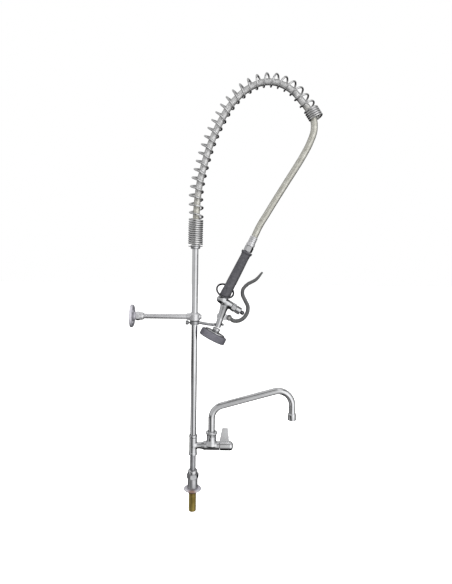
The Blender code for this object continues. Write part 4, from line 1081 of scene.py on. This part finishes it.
def make_finger_hook():
    """The hook that holds the spray valve by its neck, clamped on the riser by a thumb screw."""
    height = Vector((0, 0, HOOK_Z))
    neck_x = (NECK_START + NECK_AXIS * ((NECK_START.z - CROOK_Z) / math.cos(NECK_LEAN))).x
    crook = Vector((neck_x, 0, CROOK_Z))
    line = [Vector((0.0100, 0, HOOK_Z + 0.0008)), crook - Vector((HOOK_CROOK_R + 0.0080, 0, -0.0007))]
    for i in range(13):
        angle = math.radians(180 - 200 * i / 12)
        line.append(crook + on_circle(angle) * HOOK_CROOK_R)
    line = smoothed(line, 40)
    # stouter up to the crook, and thinner towards the tip
    radii = [HOOK_ROD_R + 0.0005] * 20 + [HOOK_ROD_R] * 15
    radii += [HOOK_ROD_R * (1 - 0.04 * i) for i in range(1, 5)] + [HOOK_ROD_R * 0.72]
    field = Field((-0.0155, -0.0180, HOOK_Z - 0.0145), (neck_x + 0.0190, 0.0190, HOOK_Z + 0.0075), 0.0004)
    field.add(field.cylinder(0.0132 - 0.0010, -0.0040, 0.0040, height) - 0.0010)
    field.add(field.capsules(line, radii), 0.0035)
    field.bore(NECK_R + 2 * GAP, 0.0450, NECK_LENGTH + 0.0200, NECK_START, NECK_AXIS)
    field.bore(PIPE_R + GAP, -0.02, 0.02, height)
    field.bore(0.0027, -0.03, -0.0050, height, ALONG_X)
    show(field.object("hook_casting"), "finger_hook", "worn")

    def scalloped(radius, angle, height):
        if radius < 0.0048 or not -0.0245 < height < -0.0180:
            return radius
        return radius - 0.00045 * (1 - abs(math.sin(4 * angle))) ** 1.5

    screw = (
        (0, -0.0252), (0.0048, -0.0252, 0.0008), (0.0061, -0.0240), (0.0061, -0.0180), (0.0050, -0.0168),
        (0.0024, -0.0166), (0.0024, -PIPE_R - GAP), (0, -PIPE_R - GAP),
    )
    made = turned("thumb_screw", screw, height, ALONG_X, segments=96, bend=scalloped)
    show(made, "hook_thumb_screw", "worn")


def make_spring_collar():
    collar = (
        (PIPE_R + GAP, 0.6835), (0.0122, 0.6835, 0.0006), (0.0135, 0.6850), (0.0135, 0.6890, 0.0008),
        (0.0205, 0.6902, 0.0006), (0.0205, SPRING_BOTTOM - 0.0026, 0.0006),
        (0.0140, SPRING_BOTTOM - 0.0026), (0.0140, SPRING_BOTTOM - 0.0002),
        (PIPE_R + GAP, SPRING_BOTTOM - 0.0002),
    )
    show(turned("spring_seat", collar), "spring_collar")


# ---------------------------------------------------------------- spray valve
def make_grip():
    foot, along = HANDLE_FOOT, HANDLE_AXIS
    core = straight_tube(0.0060, 0.0080, -0.0030, GRIP_LENGTH - 0.0010)
    show(turned("grip_core", core, foot, along), "grip_tube")
    grip = (
        (GRIP_BORE_R, 0.0), (0.0140, 0.0, 0.0012), (0.0152, 0.0016, 0.0010), (0.0152, 0.0110, 0.0040),
        (0.0147, 0.0170, 0.0090), (0.0142, 0.0260, 0.0300), (0.0140, 0.0700, 0.0300),
        (0.0130, 0.1240, 0.0100), (0.0135, 0.1330, 0.0050), (0.0160, 0.1372, 0.0016),
        (0.0160, GRIP_LENGTH, 0.0014), (GRIP_BORE_R, GRIP_LENGTH),
    )
    show(turned("grip_sleeve", grip, foot, along, segments=96), "spray_grip")
    side = along.cross(ACROSS).normalized() * -1
    lean = ACROSS * -math.cos(RING_TILT) - along * math.sin(RING_TILT)
    centre = foot + along * RING_HEIGHT + side * RING_SIDE
    matrix = placed(centre, side.cross(lean))
    around, strands, points = 96, 14, []
    for i in range(around):
        out = on_circle(2 * math.pi * i / around)
        for k in range(strands):
            turn = on_circle(2 * math.pi * k / strands, out, UP)
            points.append(matrix @ (out * RING_R + turn * RING_WIRE_R))
    made = mesh_object("holding_ring", points, grid_faces(around, strands, closed=True))
    show(made, "hold_ring", "ring")


def make_valve():
    """The valve's casting with its bonnet, plunger and return spring."""
    field = Field((0.0500, -0.0150, 0.4570), (0.1120, 0.0150, 0.5570), 0.0004)
    r = VALVE_BARREL_R
    barrel = field.lathe((
       
        (0, -0.0225), (0.0040, -0.0218), (0.0074, -0.0200), (0.0098, -0.0170), (r - 0.0004, -0.0130),
        (r, -0.0095), (r, 0.0245), (r - 0.0008, 0.0258), (0, 0.0260),
    ), VALVE_CENTRE, BARREL_AXIS)
    field.add(barrel)
    socket = field.lathe((
        (0, -0.0020), (0.0112, -0.0020), (0.0112, 0.0118), (0.0104, 0.0128), (0, 0.0128),
    ), HANDLE_FOOT - HANDLE_AXIS * (GRIP_FOOT - VALVE_CENTRE).length, HANDLE_AXIS)
    field.add(socket, 0.0030)
    neck = field.lathe((
        (0, 0), (0.0124, 0.0020), (0.0119, 0.0120), (0.0107, 0.0220), (0.0095, 0.0340), (NECK_R, 0.0470),
        (NECK_R, NECK_LENGTH - 0.0010), (0, NECK_LENGTH),
    ), NECK_START, NECK_AXIS)
    field.add(neck, 0.0040)
    lug = field.capsules([LEVER_PIVOT - ALONG_X * 0.024 + UP * 0.004, LEVER_PIVOT], [0.0110, 0.0060])
    lug = np.maximum(lug, np.abs(field.points[..., 1]) - 0.0036)
    field.add(lug, 0.0020)
    field.bore(0.0086, -0.0160, 0.0400, VALVE_CENTRE, BARREL_AXIS)
    field.bore(GRIP_BORE_R, -0.0064, 0.0400, HANDLE_FOOT, HANDLE_AXIS)
    field.bore(HEAD_BORE_R, 0.0040, NECK_LENGTH + 0.01, NECK_START, NECK_AXIS)
    field.bore(PIN_HOLE_R, -0.02, 0.02, LEVER_PIVOT, ACROSS)
    show(field.object("valve_casting"), "valve_body", "cast")
    bonnet = (
        (0.0052, -0.0022), (0.0083, -0.0022), (0.0083, 0.0263), (0.0104, 0.0263), (0.0119, 0.0274),
        (0.0119, 0.0374), (0.0106, 0.0386), (0.0092, 0.0392), (0.0092, 0.0402), (0.0108, 0.0406),
        (0.0108, 0.0532, 0.0008), (0.0096, 0.0548), (0.0064, 0.0548), (0.0064, 0.0470), (0.0044, 0.0465),
        (0.0044, 0.0250), (0.0052, 0.0240),
    )
    six = (6, 0.0105, 0.0262, 0.0387)
    made = turned("bonnet_nut", bonnet, VALVE_CENTRE, BARREL_AXIS, segments=96, flats=six)
    show(made, "valve_bonnet")
    plunger = (
        (0, -0.0022), (0.0036, -0.0022), (0.0040, -0.0016), (0.0040, 0.0560), (0.0054, 0.0562),
        (0.0058, 0.0570), (0.0058, 0.0625), (0.0046, 0.0656, 0.0016), (0.0022, 0.0671, 0.0016),
        (0, 0.0673),
    )
    show(turned("plunger_rod", plunger, VALVE_CENTRE, BARREL_AXIS), "plunger", "ring")
    line = [VALVE_CENTRE - BARREL_AXIS * (0.0152 - 0.0085 * i / 20) for i in range(21)]
    spring = coil("return_spring", line, 0.0052, 0.0005, lambda s, length: 4 / length, 16, 8, ACROSS)
    show(spring, "plunger_spring")
    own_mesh(spring)


def make_lever():
    """The squeeze lever: a bent bar with a paddle, its forked end and the pin."""
    route = [LEVER_PIVOT] + [Vector(point) for point in (
        (0.1110, 0, 0.4805), (0.1265, 0, 0.4812), (0.1411, 0, 0.4908), (0.1497, 0, 0.5060),
        (0.1507, 0, 0.5213), (0.1427, 0, 0.5388), (0.1353, 0, 0.5560), (0.1362, 0, 0.5695),
        (0.1475, 0, 0.5830), (0.1735, 0, 0.5990), (0.1905, 0, 0.6187),
    )]
    line = smoothed(route, 90)
    sizes = []
    for i in range(len(line)):
        share = i / (len(line) - 1)
        paddle = clamped((share - 0.55) / 0.25)
        taper = 1.0 - 0.45 * max(0.0, (share - 0.80) / 0.20) ** 2
        sizes.append(((0.0062 + 0.0028 * paddle) * taper, (0.0056 - 0.0010 * paddle) * taper))
    bar = swept("squeeze_bar", line[4:], sizes[4:], ACROSS, 32, caps=5)
    show(bar, "squeeze_lever")
    field = Field((0.0880, -0.0100, 0.4760), (0.1150, 0.0100, 0.5000), 0.0004)
    field.add(field.cylinder(0.0078 - 0.0012, -0.0066, 0.0066, LEVER_PIVOT, ACROSS) - 0.0012)
    near = [line[0], line[2], line[4], line[6], line[8]]
    field.add(field.capsules(near, [0.0058] * 5), 0.0030)
    room = Matrix.Translation(LEVER_PIVOT + Vector((-0.0051, 0, -0.0010)))
    field.cut(field.block((0.0149, 0.0040, 0.0130), room, 0.0005))
    field.bore(PIN_HOLE_R, -0.02, 0.02, LEVER_PIVOT, ACROSS)
    fork = field.object("lever_fork")
    fork.data.materials.append(LOOKS["lever"])
    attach(fork, "lever")
    pin = (
        (0, -0.0095), (0.0030, -0.0095, 0.0005), (0.0040, -0.0089), (0.0040, -0.0081), (0.0025, -0.0081),
        (0.0025, 0.0086), (0.0020, 0.0092), (0, 0.0092),
    )
    show(turned("pivot_pin", pin, LEVER_PIVOT, ACROSS), "lever_pin")


def make_head():
    """The spray head below the neck: nut, shell, rubber bumper, jet plate and its screw."""
    down = -HEAD_AXIS
    nut = (
        (HEAD_BORE_R, 0.0022), (0.0092, 0.0022, 0.0008), (0.0108, 0.0040, 0.0008),
        (0.0108, 0.0085, 0.0008), (0.0098, 0.0102, 0.0006), (HEAD_BORE_R, 0.0102),
    )
    show(turned("neck_nut", nut, NECK_END, down), "head_nut")
    shell = (
        (HEAD_BORE_R, 0.0105), (0.0098, 0.0105), (0.0125, 0.0120, 0.0020), (0.0280, 0.0137, 0.0008),
        (0.0295, 0.0146, 0.0005), (0.0295, 0.0165, 0.0005), (0.0285, 0.0172, 0.0003), (0.0195, 0.0172),
        (0.0195, 0.0322), (0.0165, 0.0322), (0.0165, 0.0165), (HEAD_BORE_R, 0.0155),
    )
    show(turned("head_shell", shell, NECK_END, down, segments=96), "spray_head_shell")
    top, bottom = 0.0175, 0.0375
    bumper = (
        (0.0198, top), (BUMPER_R - 0.0030, top, 0.0010), (BUMPER_R, top + 0.0028, 0.0024),
        (BUMPER_R, bottom - 0.0020, 0.0018), (BUMPER_R - 0.0022, bottom, 0.0010),
        (0.0270, bottom, 0.0006), (0.0265, 0.0325), (0.0198, 0.0325),
    )
    show(turned("bumper_ring", bumper, NECK_END, down, segments=120), "rubber_bumper")
    disc = straight_tube(0.0027, 0.0260, 0.0328, 0.0347)
    plate = turned("jet_plate", disc, NECK_END, down, segments=96)
    jet = straight_tube(0, 0.0011, 0.03, 0.04)
    jets, count = [], 10
    local = placed(NECK_END, down)
    for i in range(count):
        at = local @ (on_circle(2 * math.pi * (i + 0.5) / count) * 0.0115)
        jets.append(turned(f"jet_{i}", jet, at, down, 0, 16))
    show(drilled(plate, jets), "spray_face")
    screw = (
        (0, 0.0285), (0.0024, 0.0285), (0.0024, 0.0350), (0.0048, 0.0350), (0.0048, 0.0359, 0.0004),
        (0.0034, 0.0371, 0.0010), (0, 0.0373),
    )
    show(turned("plate_screw", screw, NECK_END, down), "face_screw")


make_base()
make_faucet()
make_spout()
make_riser_and_bracket()
make_finger_hook()
make_spring_collar()
make_grip()
make_valve()
make_lever()
make_head()
for node, carried in frame["nodes"].items():
    if not carried.hide_render:
        carried.data.materials.clear()
        carried.data.materials.append(LOOKS[SLOTS[node]])


# ---------------------------------------------------------------- floor, light and surroundings
def make_stage():
    bm = bmesh.new()
    bmesh.ops.create_grid(bm, x_segments=1, y_segments=1, size=8.0)
    mesh = bpy.data.meshes.new("floor")
    bm.to_mesh(mesh)
    bm.free()
    floor = bpy.data.objects.new("floor", mesh)
    bpy.context.scene.collection.objects.link(floor)
    floor.location = (0, 0, SHANK_BOTTOM)
    look = Look("floor")
    look.set(Base_Color=(0.93, 0.93, 0.93, 1), Roughness=0.9, Specular_IOR_Level=0.1)
    look.set(Emission_Color=(1, 1, 1, 1), Emission_Strength=0.85)
    mesh.materials.append(look.material)
    floor.visible_glossy = False
    floor.visible_diffuse = False


def area_light(name, at, aim, size, power, glossy=False):
    data = bpy.data.lights.new(name, "AREA")
    data.shape = "DISK"
    data.size = size
    data.energy = power
    light = bpy.data.objects.new(name, data)
    bpy.context.scene.collection.objects.link(light)
    light.location = at
    light.rotation_euler = (Vector(at) - Vector(aim)).to_track_quat("Z", "Y").to_euler()
    light.visible_glossy = glossy


def make_world():
    """White to the camera, and for light and reflections a grey tent.

    The tent has a bright strip to the right of the camera, a dark band overhead, a dark lower back, a
    paler upper back and a dark card low on the left.
    """
    world = bpy.data.worlds.new("studio")
    bpy.context.scene.world = world
    world.use_nodes = True
    sky = Nodes(world.node_tree)
    sky.tree.nodes.clear()

    def facing(value, sign=1.0):
        """How far a direction points to one side, and 0 on the other side."""
        return sky.math("MAXIMUM", sky.math("MULTIPLY", value, sign), 0.0)

    def eased(value, *stops):
        return sky.ramp(value, *stops, mode="EASE")

    direction = sky.node("ShaderNodeSeparateXYZ")
    sky.link(sky.node("ShaderNodeTexCoord").outputs["Generated"], direction.inputs[0])
    x, y, z = direction.outputs
    # azimuth: 0 and 1 behind the object, 0.5 in front of it, growing towards the right
    turn = sky.math("ARCTAN2", x, sky.math("MULTIPLY", y, -1.0))
    azimuth = sky.math("ADD", sky.math("DIVIDE", turn, 2 * math.pi), 0.5)
    around = eased(
        azimuth, (0.00, 0.20), (0.08, 0.38), (0.17, 0.52), (0.28, 0.56), (0.40, 0.46), (0.49, 0.50),
        (0.545, 1.06), (0.64, 1.06), (0.71, 0.50), (0.80, 0.35), (0.89, 0.22), (1.00, 0.20),
    )
    height = sky.math("ADD", sky.math("MULTIPLY", z, 0.5), 0.5)
    tall = eased(
        height, (0.00, 0.60), (0.10, 0.45), (0.28, 0.85), (0.40, 1.15), (0.50, 1.0), (0.62, 1.0),
        (0.82, 0.95), (0.87, 0.25), (0.91, 0.25), (0.96, 1.0), (1.00, 1.1),
    )
    low_back = sky.math("MULTIPLY", facing(y), facing(z, -1.0))
    shade = eased(low_back, (0.0, 1.0), (0.08, 0.45), (0.24, 0.06), (1.0, 0.03))
    high_back = sky.math("MULTIPLY", facing(y), facing(z))
    glow = eased(high_back, (0.0, 0.0), (0.14, 0.04), (0.30, 0.50), (1.0, 0.50))
    low_left = sky.math("MULTIPLY", facing(x, -1.0), facing(z, -1.0))
    card = eased(low_left, (0.0, 1.0), (0.07, 1.0), (0.12, 0.15), (0.24, 0.15), (0.32, 1.0))
    tent = sky.math("MULTIPLY", sky.math("MULTIPLY", around, tall), sky.math("MULTIPLY", shade, card))
    studio = sky.node("ShaderNodeBackground", Strength=1.0)
    sky.link(sky.math("ADD", tent, glow), studio.inputs["Color"])
    white = sky.node("ShaderNodeBackground", Color=(1, 1, 1, 1))
    chosen = sky.node("ShaderNodeMixShader")
    sky.link(sky.node("ShaderNodeLightPath").outputs["Is Camera Ray"], chosen.inputs[0])
    sky.link(studio.outputs[0], chosen.inputs[1])
    sky.link(white.outputs[0], chosen.inputs[2])
    sky.link(chosen.outputs[0], sky.node("ShaderNodeOutputWorld").inputs["Surface"])


make_stage()
make_world()
area_light("key", (-1.4, -1.8, 2.4), (0.05, 0, 0.4), 1.6, 40)
area_light("fill", (1.8, -1.4, 1.6), (0.05, 0, 0.4), 1.6, 24)
area_light("back", (0.4, 2.0, 2.2), (0.05, 0, 0.3), 1.6, 24)
bpy.context.scene.view_settings.view_transform = "Standard"
